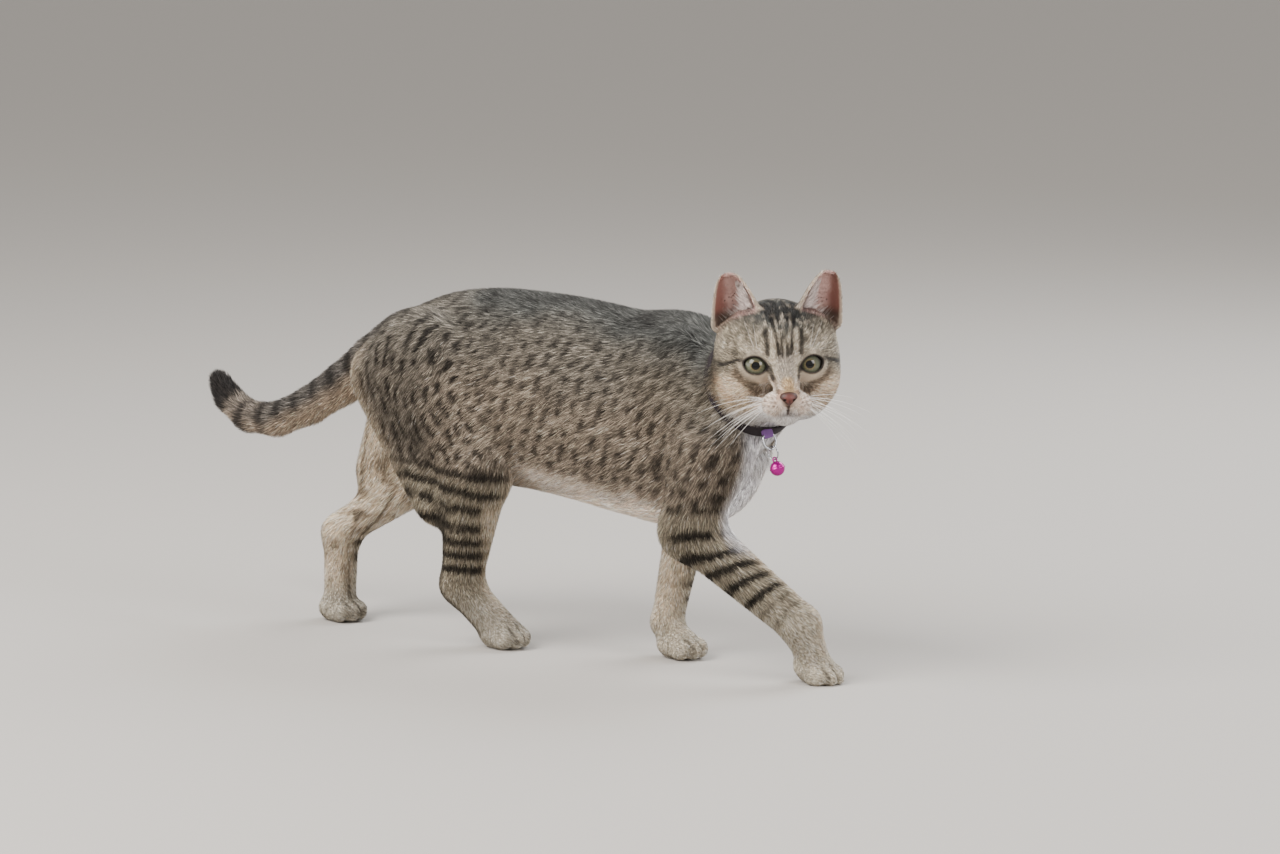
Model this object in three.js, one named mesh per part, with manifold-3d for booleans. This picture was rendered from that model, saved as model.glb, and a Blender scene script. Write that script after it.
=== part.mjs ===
// A slim grey tabby house cat in mid walk, life size, head turned towards its right side.
// Millimetres, +X is the way the cat walks, +Y its left side, +Z up, paws on the floor at z = 0.
// The outer coat is one smooth surface made of rounded muscles and bones that melt together.
// It is then parted where a person would name the pieces: head, neck, chest, legs, tail and so on.

import * as THREE from 'three';
import Module from 'manifold-3d';

const wasm = await Module();
wasm.setup();

// ---------------------------------------------------------------- sizes

const ORIGIN = [-114.723, -9.52, 0];   // middle of the footprint, taken off every point at the end
const JOIN_GAP = 0.3;                   // clear gap between neighbouring pieces
const FLOOR = [[0, 0, 0], [0, 0, 1]];     // the soles are cut off level here

// Trunk sections along the back: x, top, underside, half width.
const TRUNK = [
  [-226, 217, 176, 15],
  [-212, 228, 158, 28],
  [-190, 240.5, 138, 39],
  [-160, 252, 124, 45],
  [-125, 257.5, 117, 48],
  [-85, 257.5, 114.5, 50],
  [-45, 255, 110, 51],
  [-5, 250, 104, 50],
  [35, 246, 99, 46],
  [62, 236, 103, 41],
  [84, 216, 116, 34],
  [97, 191, 137, 18],
];
const TRUNK_TAPER = 0.10;               // the barrel is this much wider low down than high up

// Neck and tail: centre points with their radius.
const NECK = [
  [[40, 0, 203], 43],
  [[70, -3, 192], 40],
  [[94, -13, 196], 34],
  [[112, -24, 210], 32],
];
const TAIL = [
  [[-203, 0, 215], 20],
  [[-232, 2, 198], 18],
  [[-264, 6, 177], 16],
  [[-299, 12, 157.5], 14.5],
  [[-334, 19, 144], 13.5],
  [[-366, 26, 143], 12.5],
  [[-390, 32, 155], 11.5],
  [[-400, 35, 166], 9.5],
];

// Forelegs: the right one reaches forward, the left one carries the weight.
const RIGHT_FORE = {
  scapula: [50, -27, 226], shoulder: [80, -34, 160], elbow: [64, -36, 103], wrist: [142, -16, 41],
  ball: [149, -6, 11], rElbow: 20, rForearm: 19, rWrist: 14.5, pawYaw: -8, pawPitch: -14,
};
const LEFT_FORE = {
  scapula: [30, 26, 224], shoulder: [52, 30, 158], elbow: [20, 33, 103], wrist: [8, 23, 24],
  ball: [20, 20, 11], rElbow: 18, rForearm: 16, rWrist: 11.5, pawYaw: -5, pawPitch: 0,
};
// Hindlegs: the right one is planted under the belly, the left one pushes off behind.
const RIGHT_HIND = {
  hip: [-164, -30, 201], knee: [-112, -40, 131], heel: [-137, -24, 43], ball: [-108, -15, 11],
  ischium: [-203, -22, 190], ham: [-153, -31, 106],
  rKnee: 25, rShank: 24, rHock: 14.5, rHeel: 13.5, rInstep: 13.5, pawYaw: -5, pawPitch: 0,
};
const LEFT_HIND = {
  hip: [-166, 30, 201], knee: [-204, 37, 116], heel: [-275, 18, 62], ball: [-272, 11, 11],
  ischium: [-212, 26, 188], ham: [-248, 30, 112],
  rKnee: 24, rShank: 20, rHock: 12.5, rHeel: 13, rInstep: 12, pawYaw: -5, pawPitch: 0,
};
const SCAPULA_R = 16;
const SHOULDER_R = 29;
const HIP_R = 44;
const HAM_R = [30, 20];

// Paw: a pad with four toes, measured from the ball of the foot.
const PAD_R = [17, 14, 10.5];
const TOE_R = [9, 5.6, 7.2];
const TOES = [[8, -10.5], [13.5, -3.8], [13.5, 3.8], [8, 10.5]];

// Head, in its own frame: x out of the nose, y to the cat's left, z up, zero between the ears and jaw.
const HEAD = { at: [134.5, -34.5, 225], yaw: -50, pitch: 1.5, roll: 0.7 };
const EYE = { at: [18.6, 17.8, 0], radius: 10.8 };
const NOSE = { at: [47.5, 0, -20], radii: [5.2, 6.9, 4.9] };
const EAR = {
  base: [3, 27.5, 28], tip: [10, 35.5, 63], faces: [0.95, 0.22, -0.2],
  halfWidth: 17.6, rimAtTip: 1.4, taper: 0.46, depth: 0.7, wallTip: 2.2, wallBase: 3.6,
};

// How softly each mass melts into the rest.
const BLEND = { neck: 22, head: 10, ear: 5, tail: 12, foreleg: 12, rightHind: 9, leftHind: 14, paw: 6 };

// Collar and what hangs from it.
const COLLAR = { at: [94, -18, 193], axis: [0.764, -0.239, 0.6], plane: 203.4, width: 11, thick: 2.4, sink: 2.2 };
const HANG = {
  top: [123.2, -29.6, 174.8],           // where the keeper sits at the throat
  outward: [0.539, -0.83, 0.139],       // away from the throat
  aside: [0.839, 0.545, 0],             // the way the bell swings
  swing: 16,                            // degrees off the plumb line
};
const D_RING = { wide: 5.1, high: 5.9, wire: 0.8, drop: 5.7 };
const SPLIT_RING = { radius: 4.6, wire: 0.5, drop: 14.3 };
const BELL = {
  radius: 5.15, wall: 0.7, seam: 0.5, slot: 1.3, drop: 25.35,
  loop: 1.7, loopWire: 0.5, loopDrop: 19.1, pellet: 1.3,
};

// ---------------------------------------------------------------- small vector helpers

const add = (a, b) => [a[0] + b[0], a[1] + b[1], a[2] + b[2]];
const sub = (a, b) => [a[0] - b[0], a[1] - b[1], a[2] - b[2]];
const mul = (a, s) => [a[0] * s, a[1] * s, a[2] * s];
const dot = (a, b) => a[0] * b[0] + a[1] * b[1] + a[2] * b[2];
const unit = (a) => mul(a, 1 / Math.hypot(...a));
const cross = (a, b) => [a[1] * b[2] - a[2] * b[1], a[2] * b[0] - a[0] * b[2], a[0] * b[1] - a[1] * b[0]];
const along = (a, b) => unit(sub(b, a));
const mix = (a, b, t) => add(mul(a, 1 - t), mul(b, t));
const clamp = (v, lo, hi) => Math.min(Math.max(v, lo), hi);

// Axes of a frame turned by yaw about z, then nose-up pitch, then roll about its own x.
function frameAxes(yaw, pitch, roll) {
  const [y, p, r] = [yaw, pitch, roll].map((d) => (d * Math.PI) / 180);
  const ahead = [Math.cos(y) * Math.cos(p), Math.sin(y) * Math.cos(p), Math.sin(p)];
  const left0 = [-Math.sin(y), Math.cos(y), 0];
  const up0 = cross(ahead, left0);
  const left = add(mul(left0, Math.cos(r)), mul(up0, Math.sin(r)));
  const up = cross(ahead, left);
  return [ahead, left, up];
}

const toFrame = (p, at, axes) => {
  const d = sub(p, at);
  return [dot(d, axes[0]), dot(d, axes[1]), dot(d, axes[2])];
};
const fromFrame = (q, at, axes) => add(at, add(add(mul(axes[0], q[0]), mul(axes[1], q[1])), mul(axes[2], q[2])));

// ---------------------------------------------------------------- rounded masses

// Union of two masses that melt together over the distance k.
function melt(a, b, k) {
  const h = clamp(0.5 + (0.5 * (b - a)) / k, 0, 1);
  return b + (a - b) * h - k * h * (1 - h);
}

// Distance to a limb that tapers from radius ra at a to rb at b; flat below 1 makes it thinner across.
function limb(p, a, b, ra, rb, flat = 1) {
  const ba = sub(b, a);
  const t = clamp(dot(sub(p, a), ba) / dot(ba, ba), 0, 1);
  const d = sub(p, add(a, mul(ba, t)));
  return Math.hypot(d[0], d[1] / flat, d[2]) - (ra + (rb - ra) * t);
}

// Distance, near enough, to an egg shape with the radii r.
function egg(p, c, r) {
  const d = sub(p, c);
  const k0 = Math.hypot(d[0] / r[0], d[1] / r[1], d[2] / r[2]);
  const k1 = Math.hypot(d[0] / r[0] ** 2, d[1] / r[1] ** 2, d[2] / r[2] ** 2);
  return (k0 * (k0 - 1)) / Math.max(k1, 1e-9);
}

// Smooth curve through the trunk stations, column by column.
function station(x, column) {
  const n = TRUNK.length;
  const xc = clamp(x, TRUNK[0][0], TRUNK[n - 1][0]);
  let i = 0;
  while (i < n - 2 && xc >= TRUNK[i + 1][0]) i += 1;
  const slope = (j) => {
    if (j === 0) return (TRUNK[1][column] - TRUNK[0][column]) / (TRUNK[1][0] - TRUNK[0][0]);
    if (j === n - 1) return (TRUNK[j][column] - TRUNK[j - 1][column]) / (TRUNK[j][0] - TRUNK[j - 1][0]);
    const before = TRUNK[j][0] - TRUNK[j - 1][0];
    const after = TRUNK[j + 1][0] - TRUNK[j][0];
    const s0 = (TRUNK[j][column] - TRUNK[j - 1][column]) / before;
    const s1 = (TRUNK[j + 1][column] - TRUNK[j][column]) / after;
    return (s0 * after + s1 * before) / (before + after);
  };
  const h = TRUNK[i + 1][0] - TRUNK[i][0];
  const t = (xc - TRUNK[i][0]) / h;
  const y0 = TRUNK[i][column];
  const y1 = TRUNK[i + 1][column];
  return y0 * (1 + 2 * t) * (1 - t) ** 2 + slope(i) * h * t * (1 - t) ** 2
    + y1 * t * t * (3 - 2 * t) - slope(i + 1) * h * t * t * (1 - t);
}

function trunk(p) {
  const top = station(p[0], 1);
  const low = station(p[0], 2);
  const half = station(p[0], 3);
  const h = (top - low) / 2;
  const dz = p[2] - (top + low) / 2;
  const w = half * (1 - TRUNK_TAPER * clamp(dz / h, -1, 1));
  const rho = Math.hypot(p[1] / w, dz / h);
  const r = Math.hypot(p[1], dz);
  const inPlane = rho > 1e-6 ? r - r / rho : -Math.min(w, h);
  const past = Math.max(p[0] - TRUNK[TRUNK.length - 1][0], TRUNK[0][0] - p[0], 0);
  return past > 0 ? Math.hypot(Math.max(inPlane, 0), past) : inPlane;
}

function chain(p, points, k) {
  let f = Infinity;
  for (let i = 0; i < points.length - 1; i += 1) {
    const g = limb(p, points[i][0], points[i + 1][0], points[i][1], points[i + 1][1]);
    f = i === 0 ? g : melt(f, g, k);
  }
  return f;
}
const neck = (p) => chain(p, NECK, 10);
const tail = (p) => chain(p, TAIL, 4);

function foreleg(p, leg) {
  let f = limb(p, leg.scapula, leg.shoulder, SCAPULA_R, SHOULDER_R, 0.62);
  f = melt(f, limb(p, leg.shoulder, leg.elbow, SHOULDER_R - 1, leg.rElbow), 18);
  f = melt(f, limb(p, leg.elbow, leg.wrist, leg.rForearm, leg.rWrist), 14);
  return melt(f, limb(p, leg.wrist, leg.ball, leg.rWrist - 0.5, 11), 6);
}

function hindleg(p, leg) {
  let f = limb(p, leg.hip, leg.knee, HIP_R, leg.rKnee, 0.72);
  f = melt(f, limb(p, leg.ischium, leg.ham, HAM_R[0], HAM_R[1], 0.75), 16);
  f = melt(f, limb(p, leg.knee, add(leg.heel, [0, 0, 4]), leg.rShank, leg.rHock), 16);
  return melt(f, limb(p, leg.heel, leg.ball, leg.rHeel, leg.rInstep), 12);
}

function paw(p, leg) {
  const q = toFrame(p, leg.ball, leg.axes);
  let f = egg(q, [0, 0, -2], PAD_R);
  for (const [x, y] of TOES) {
    f = melt(f, egg(q, [x, y, -3.5], TOE_R), 2);
  }
  return f;
}
for (const leg of [RIGHT_FORE, LEFT_FORE, RIGHT_HIND, LEFT_HIND]) {
  leg.axes = frameAxes(leg.pawYaw, leg.pawPitch, 0);
}

// Skull, brow, temples, cheeks, nose bridge, whisker pads, chin and jaw, in the head's own frame.
function headShape(q) {
  const m = [q[0], Math.abs(q[1]), q[2]];
  let f = egg(m, [-10, 0, 12], [37, 34, 31]);
  f = melt(f, egg(m, [8, 0, 13], [24, 27, 23]), 10);
  f = melt(f, egg(m, [-6, 23, 13], [23, 18.5, 21]), 10);
  f = melt(f, egg(m, [-4, 22, -10], [27, 21.5, 24]), 14);
  f = melt(f, limb(m, [20, 0, 2], [42, 0, -15], 13, 8.5), 8);
  f = melt(f, egg(m, [38, 7.6, -25], [13, 9.8, 9.3]), 5);
  f = melt(f, egg(m, [33, 0, -33.5], [11, 9.5, 6]), 5);
  return melt(f, limb(m, [26, 0, -30.5], [-8, 18, -26], 8.5, 15), 8);
}

// Ear frame: u runs up the ear, v out of its open side, s across it.
const EAR_LONG = Math.hypot(...sub(EAR.tip, EAR.base));
const EAR_U = unit(sub(EAR.tip, EAR.base));
const EAR_V = unit(sub(EAR.faces, mul(EAR_U, dot(EAR.faces, EAR_U))));
const EAR_S = cross(EAR_V, EAR_U);

const HEAD_AXES = frameAxes(HEAD.yaw, HEAD.pitch, HEAD.roll);
const inHead = (p) => toFrame(p, HEAD.at, HEAD_AXES);
const outHead = (q) => fromFrame(q, HEAD.at, HEAD_AXES);

// The whole coat surface, negative inside.
const head = (p) => headShape(inHead(p));

function body(p) {
  let f = trunk(p);
  f = melt(f, neck(p), BLEND.neck);
  f = melt(f, head(p), BLEND.head);
  f = melt(f, tail(p), BLEND.tail);
  f = melt(f, foreleg(p, RIGHT_FORE), BLEND.foreleg);
  f = melt(f, foreleg(p, LEFT_FORE), BLEND.foreleg);
  f = melt(f, hindleg(p, RIGHT_HIND), BLEND.rightHind);
  return melt(f, hindleg(p, LEFT_HIND), BLEND.leftHind);
}
const foreAndPaw = (leg) => (p) => melt(foreleg(p, leg), paw(p, leg), BLEND.paw);
const hindAndPaw = (leg) => (p) => melt(hindleg(p, leg), paw(p, leg), BLEND.paw);

// ---------------------------------------------------------------- meshing

// Evenly stepped grid lines from lo to hi.
function lines(lo, hi, step) {
  const n = Math.max(2, Math.round((hi - lo) / step));
  return Array.from({ length: n + 1 }, (_, i) => lo + ((hi - lo) * i) / n);
}

// A surface is sound when each of its edges is shared by exactly two faces.
function sound(faces) {
  const used = new Map();
  for (let i = 0; i < faces.length; i += 1) {
    const a = faces[i];
    const b = faces[i % 3 === 2 ? i - 2 : i + 1];
    const key = a < b ? `${a},${b}` : `${b},${a}`;
    used.set(key, (used.get(key) ?? 0) + 1);
  }
  return [...used.values()].every((n) => n === 2);
}

// Skin a field; a grid that catches two sheets of the surface in one cell is moved along a little.
function wrap(field, xs, ys, zs, place = (q) => q) {
  const moved = (values, by) => values.map((v) => v + by);
  let skin;
  for (let n = 0; n < 6; n += 1) {
    const by = n * 0.37;
    skin = wrapOnce(field, moved(xs, by), moved(ys, -by), moved(zs, by / 3), place);
    if (sound(skin.faces)) break;
  }
  return solid(skin.points, skin.faces);
}

// One vertex in each grid cell the surface passes through, drawn onto the surface, joined by quads.
// The box walls close whatever is cut off by them.
function wrapOnce(field, xs, ys, zs, place) {
  const nx = xs.length;
  const ny = ys.length;
  const nz = zs.length;
  const at = (i, j, k) => (i * ny + j) * nz + k;
  const values = new Float64Array(nx * ny * nz);
  for (let i = 0; i < nx; i += 1) {
    for (let j = 0; j < ny; j += 1) {
      for (let k = 0; k < nz; k += 1) {
        const edge = i === 0 || j === 0 || k === 0 || i === nx - 1 || j === ny - 1 || k === nz - 1;
        const f = field(place([xs[i], ys[j], zs[k]]));
        values[at(i, j, k)] = edge ? Math.max(f, 0.5) : f;
      }
    }
  }
  const cell = new Int32Array(nx * ny * nz).fill(-1);
  const points = [];
  const corner = (i, j, k, c) => [i + (c & 1), j + ((c >> 1) & 1), k + ((c >> 2) & 1)];
  for (let i = 0; i < nx - 1; i += 1) {
    for (let j = 0; j < ny - 1; j += 1) {
      for (let k = 0; k < nz - 1; k += 1) {
        let sum = [0, 0, 0];
        let count = 0;
        for (let c = 0; c < 8; c += 1) {
          for (const bit of [1, 2, 4]) {
            if (c & bit) continue;
            const a = corner(i, j, k, c);
            const b = corner(i, j, k, c | bit);
            const fa = values[at(...a)];
            const fb = values[at(...b)];
            if ((fa < 0) === (fb < 0)) continue;
            const pa = [xs[a[0]], ys[a[1]], zs[a[2]]];
            const pb = [xs[b[0]], ys[b[1]], zs[b[2]]];
            sum = add(sum, mix(pa, pb, fa / (fa - fb)));
            count += 1;
          }
        }
        if (count > 0) {
          const inner = i > 0 && j > 0 && k > 0 && i < nx - 2 && j < ny - 2 && k < nz - 2;
          const size = Math.min(xs[i + 1] - xs[i], ys[j + 1] - ys[j], zs[k + 1] - zs[k]);
          const p = place(mul(sum, 1 / count));
          cell[at(i, j, k)] = points.length;
          points.push(inner ? settle(field, p, size * 0.45) : p);
        }
      }
    }
  }
  const faces = [];
  const quad = (a, b, c, d, flip) => {
    const q = flip ? [d, c, b, a] : [a, b, c, d];
    const short = Math.hypot(...sub(points[q[0]], points[q[2]])) <= Math.hypot(...sub(points[q[1]], points[q[3]]));
    faces.push(...(short ? [q[0], q[1], q[2], q[0], q[2], q[3]] : [q[1], q[2], q[3], q[1], q[3], q[0]]));
  };
  for (let i = 0; i < nx - 1; i += 1) {
    for (let j = 0; j < ny - 1; j += 1) {
      for (let k = 0; k < nz - 1; k += 1) {
        const inside = values[at(i, j, k)] < 0;
        if (j > 0 && k > 0 && inside !== (values[at(i + 1, j, k)] < 0)) {
          quad(cell[at(i, j - 1, k - 1)], cell[at(i, j, k - 1)], cell[at(i, j, k)], cell[at(i, j - 1, k)], !inside);
        }
        if (i > 0 && k > 0 && inside !== (values[at(i, j + 1, k)] < 0)) {
          quad(cell[at(i - 1, j, k - 1)], cell[at(i - 1, j, k)], cell[at(i, j, k)], cell[at(i, j, k - 1)], !inside);
        }
        if (i > 0 && j > 0 && inside !== (values[at(i, j, k + 1)] < 0)) {
          quad(cell[at(i - 1, j - 1, k)], cell[at(i, j - 1, k)], cell[at(i, j, k)], cell[at(i - 1, j, k)], !inside);
        }
      }
    }
  }
  return { points, faces };
}

// A mesh on a grid laid along the line from a to b: long steps down its length, short ones across.
function lengthwise(field, a, b, past, half, longStep, acrossStep, ahead = past) {
  const u = along(a, b);
  const v = unit(cross([0, 1, 0], u));
  const w = cross(u, v);
  const place = (q) => add(a, add(add(mul(u, q[0]), mul(v, q[1])), mul(w, q[2])));
  const long = Math.hypot(...sub(b, a));
  const across = lines(-half, half, acrossStep);
  return wrap(field, lines(-past, long + ahead, longStep), across, across, place);
}

// Walk a point down the slope of the field onto the surface, never further than reach.
function settle(field, start, reach) {
  let p = start;
  const e = 0.2;
  for (let n = 0; n < 3; n += 1) {
    const f = field(p);
    const g = [0, 1, 2].map((a) => {
      const step = [0, 0, 0];
      step[a] = e;
      return (field(add(p, step)) - field(sub(p, step))) / (2 * e);
    });
    const gg = Math.max(dot(g, g), 0.2);
    p = add(p, mul(g, (-0.9 * f) / gg));
  }
  const moved = sub(p, start);
  const far = Math.hypot(...moved);
  return far > reach ? add(start, mul(moved, reach / far)) : p;
}

// A closed surface as a solid, its faces turned outwards.
function solid(points, faces) {
  let volume = 0;
  for (let i = 0; i < faces.length; i += 3) {
    volume += dot(points[faces[i]], cross(points[faces[i + 1]], points[faces[i + 2]]));
  }
  const vertProperties = new Float32Array(points.flat());
  const triVerts = new Uint32Array(volume < 0 ? faces.toReversed() : faces);
  return new wasm.Manifold(new wasm.Mesh({ numProp: 3, vertProperties, triVerts }));
}

// A three.js shape as a solid, its doubled corners joined first.
function fromGeometry(geometry, place = (q) => q) {
  const pos = geometry.attributes.position;
  const index = geometry.index.array;
  const seen = new Map();
  const points = [];
  const id = [];
  for (let i = 0; i < pos.count; i += 1) {
    const key = [pos.getX(i), pos.getY(i), pos.getZ(i)].map((v) => Math.round(v * 1e4)).join(',');
    if (!seen.has(key)) {
      seen.set(key, points.length);
      points.push(place([pos.getX(i), pos.getY(i), pos.getZ(i)]));
    }
    id.push(seen.get(key));
  }
  const faces = [];
  for (let i = 0; i < index.length; i += 3) {
    const t = [id[index[i]], id[index[i + 1]], id[index[i + 2]]];
    if (new Set(t).size === 3) faces.push(...t);
  }
  return solid(points, faces);
}

// The space on the far side of every plane [point, outward normal]; grow moves the planes out.
const WORLD = new THREE.BoxGeometry(1600, 1600, 1600);
function region(planes, grow = 0) {
  let r = fromGeometry(WORLD);
  for (const [point, normal] of planes) {
    const n = unit(normal);
    r = r.trimByPlane(n, dot(n, point) - grow);
  }
  return r;
}
const flip = ([point, normal]) => [point, mul(normal, -1)];

// The ear as rows of one closed outline: round the back of the cup and home again through its hollow.
function earCup(place) {
  const rows = [-9, 0, 7, 14, 21, 27, 31.5, 34.8, 36.6];
  const turns = [-90, -62, -32, 0, 32, 62, 90].map((d) => (d * Math.PI) / 180);
  const points = [];
  const faces = [];
  const around = 2 * turns.length;
  for (const u of rows) {
    const t = clamp(u / EAR_LONG, -0.3, 1);
    const half = EAR.rimAtTip + EAR.halfWidth * Math.min(1 - t, 1) ** EAR.taper;
    const wall = Math.min(EAR.wallTip + (EAR.wallBase - EAR.wallTip) * (1 - t), half * 0.45);
    const hollow = clamp((u - 3) / 8, 0, 1) * clamp((EAR_LONG - 3 - u) / 8, 0, 1);
    const rim = (a, h, d) => points.push(place(add(EAR.base,
      add(add(mul(EAR_U, u), mul(EAR_S, h * Math.sin(a))), mul(EAR_V, -d * Math.cos(a))))));
    turns.forEach((a) => rim(a, half, half * EAR.depth));
    turns.toReversed().forEach((a) => rim(a, half - wall, (half * EAR.depth - wall) * hollow));
  }
  for (let i = 0; i < rows.length - 1; i += 1) {
    for (let j = 0; j < around; j += 1) {
      const k = (j + 1) % around;
      const [a, b, c, d] = [i * around + j, i * around + k, (i + 1) * around + k, (i + 1) * around + j];
      faces.push(a, b, c, a, c, d);
    }
  }
  const last = (rows.length - 1) * around;
  for (let j = 0; j < turns.length - 1; j += 1) {
    const m = around - 1 - j;
    faces.push(j, m, m - 1, j, m - 1, j + 1);
    faces.push(last + j, last + j + 1, last + m - 1, last + j, last + m - 1, last + m);
  }
  return solid(points, faces);
}

// ---------------------------------------------------------------- where the pieces part

const bend = (a, b, c) => unit(add(along(a, b), along(b, c)));

const AT_NECK = [mul(unit(COLLAR.axis), COLLAR.plane + 7.5), COLLAR.axis];
const AT_CHEST = [[60, -2, 200], [0.86, 0, 0.5]];
const AT_LOIN = [[-20, 0, 180], [1, 0, 0]];
const AT_HIPS = [[-128, 0, 180], [1, 0, -0.15]];
const AT_TAIL = [[-219, 1, 207], [-0.86, 0.05, -0.5]];
const AT_TAIL_2 = [TAIL[3][0], bend(TAIL[2][0], TAIL[3][0], TAIL[4][0])];
const AT_TAIL_3 = [TAIL[5][0], bend(TAIL[4][0], TAIL[5][0], TAIL[6][0])];

// Shoulder and thigh part from the trunk on a slant: low on the inside, high on the outside.
function limbRoot(side, inner, outer, ahead, behind) {
  const slope = [0, side * (outer[1] - inner[1]), -(outer[0] - inner[0])];
  const planes = [[[0, side * inner[0], inner[1]], slope]];
  if (ahead) planes.push(ahead);
  if (behind) planes.push(behind);
  return planes;
}
const FORE_ROOT = {
  right: limbRoot(-1, [11, 96], [50, 196], null, [[30, 0, 150], [1, 0, 0.22]]),
  left: limbRoot(1, [11, 96], [50, 196], null, [[-8, 0, 150], [1, 0, -0.12]]),
};
const HIND_ROOT = {
  right: limbRoot(-1, [8, 112], [50, 222], [[-92, 0, 130], [-1, 0, -0.32]], null),
  left: limbRoot(1, [8, 112], [50, 222], [[-130, 0, 150], [-1, 0, -0.5]], null),
};

// ---------------------------------------------------------------- collar

const BAND_STEPS = 26;
const bandAxis = unit(COLLAR.axis);
const bandCentre = add(COLLAR.at, mul(bandAxis, COLLAR.plane - dot(COLLAR.at, bandAxis)));
const bandFront = unit(sub([1, 0, 0], mul(bandAxis, bandAxis[0])));
const bandLeft = cross(bandAxis, bandFront);

// How far the coat lies from the neck's middle in the direction of the angle.
function neckRadius(angle) {
  const dir = add(mul(bandFront, Math.cos(angle)), mul(bandLeft, Math.sin(angle)));
  const throat = (p) => melt(trunk(p), neck(p), BLEND.neck);
  let r = 20;
  for (let n = 0; n < 60; n += 1) {
    r -= throat(add(bandCentre, mul(dir, r))) * 0.8;
  }
  return r;
}
const bandRadii = Array.from({ length: BAND_STEPS }, (_, i) => neckRadius((2 * Math.PI * i) / BAND_STEPS));

// A closed band round the neck between two depths, following the neck's own section.
function band(width, inner, outer) {
  const points = [];
  const faces = [];
  for (let i = 0; i < BAND_STEPS; i += 1) {
    const angle = (2 * Math.PI * i) / BAND_STEPS;
    const dir = add(mul(bandFront, Math.cos(angle)), mul(bandLeft, Math.sin(angle)));
    const n = (i + 1) % BAND_STEPS;
    const before = bandRadii[(i + BAND_STEPS - 1) % BAND_STEPS];
    const slack = (before + bandRadii[i] * 2 + bandRadii[n]) / 4;
    for (const [r, w] of [[inner, -1], [outer, -1], [outer, 1], [inner, 1]]) {
      points.push(add(bandCentre, add(mul(dir, slack + r), mul(bandAxis, (w * width) / 2))));
    }
    for (let c = 0; c < 4; c += 1) {
      const d = (c + 1) % 4;
      faces.push(i * 4 + c, i * 4 + d, n * 4 + d, i * 4 + c, n * 4 + d, n * 4 + c);
    }
  }
  return solid(points, faces);
}

// ---------------------------------------------------------------- the cat

const cat = new THREE.Group();
cat.name = 'cat';

const COAT = {
  head: '#8d8377', ear: '#a08a80', neck: '#7d766b', chest: '#8a8275', loin: '#7f786c', hips: '#79736a',
  shoulder: '#817a6e', thigh: '#757067', shank: '#8d867b', foot: '#b9b1a5', tail: '#86806f', tailTip: '#3c3935',
};

// The main body of a cut, without the slivers a slanted cut can leave.
function mainBody(shape) {
  const bodies = shape.decompose();
  return bodies.reduce((best, s) => (s.volume() > best.volume() ? s : best), bodies[0]);
}

function addPiece(name, shape, color, options = {}) {
  const mesh = mainBody(shape).getMesh();
  const position = new Float32Array(mesh.vertProperties.length);
  for (let i = 0; i < position.length; i += 1) {
    position[i] = mesh.vertProperties[i] - ORIGIN[i % 3];
  }
  const geometry = new THREE.BufferGeometry();
  geometry.setAttribute('position', new THREE.BufferAttribute(position, 3));
  geometry.setIndex(new THREE.BufferAttribute(new Uint32Array(mesh.triVerts), 1));
  geometry.computeVertexNormals();
  const { roughness = 0.85, metalness = 0 } = options;
  const material = new THREE.MeshStandardMaterial({ color, roughness, metalness });
  const piece = new THREE.Mesh(geometry, material);
  piece.name = name;
  cat.add(piece);
  return piece;
}

const groove = band(COLLAR.width + 2 * JOIN_GAP, -COLLAR.sink - JOIN_GAP, 14);

// Head, its ears, eyes and nose leather.
const headSteps = (lo, fine, hi) => [...lines(lo, fine, 12).slice(0, -1), ...lines(fine, hi, 5.8)];
const headBlend = (p) => melt(melt(trunk(p), neck(p), BLEND.neck), head(p), BLEND.head);
const headGrid = [headSteps(-64, 8, 60), lines(-50, 50, 7), lines(-58, 50, 6.4)];
const eyeAt = (side, extra) => {
  const [x, y, z] = EYE.at;
  const ball = new THREE.SphereGeometry(EYE.radius + extra, 12, 8);
  return fromGeometry(ball, (q) => outHead([x + q[1], side * y - q[0], z - q[2]]));
};
const noseLeather = (extra) => {
  const [rx, ry, rz] = NOSE.radii.map((r) => r + extra);
  const ball = new THREE.SphereGeometry(1, 12, 8);
  return fromGeometry(ball, (q) => outHead(add(NOSE.at, [q[0] * rx, q[1] * ry, q[2] * rz])));
};
const wholeHead = wrap(headBlend, ...headGrid, outHead).intersect(region([AT_NECK], -JOIN_GAP));
const headSolid = wholeHead.subtract(eyeAt(1, JOIN_GAP)).subtract(eyeAt(-1, JOIN_GAP))
  .subtract(noseLeather(JOIN_GAP)).subtract(groove);
addPiece('head', headSolid, COAT.head);
const skullRoom = wrap((p) => headBlend(p) - 0.7, ...headGrid, outHead);
for (const side of [1, -1]) {
  const name = side > 0 ? 'left' : 'right';
  const shell = earCup((q) => outHead([q[0], side * q[1], q[2]]));
  addPiece(`ear_${name}`, shell.subtract(skullRoom), COAT.ear);
  addPiece(`eye_${name}`, eyeAt(side, 0), '#8f9273', { roughness: 0.08 });
}
addPiece('nose', noseLeather(0), '#7e4440', { roughness: 0.5 });

// Neck and trunk, with room left for the limbs, the tail and the collar.
const limbRoom = (grow) => [
  region(FORE_ROOT.right, grow), region(FORE_ROOT.left, grow),
  region(HIND_ROOT.right, grow), region(HIND_ROOT.left, grow),
];
const [rightForeRoom, leftForeRoom, rightHindRoom, leftHindRoom] = limbRoom(JOIN_GAP / 2);
const clearOfLimbs = (s) => s.subtract(rightForeRoom).subtract(leftForeRoom)
  .subtract(rightHindRoom).subtract(leftHindRoom);
const between = (s, back, front) => s.intersect(region([back, flip(front)].filter(Boolean), -JOIN_GAP / 2));

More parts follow.
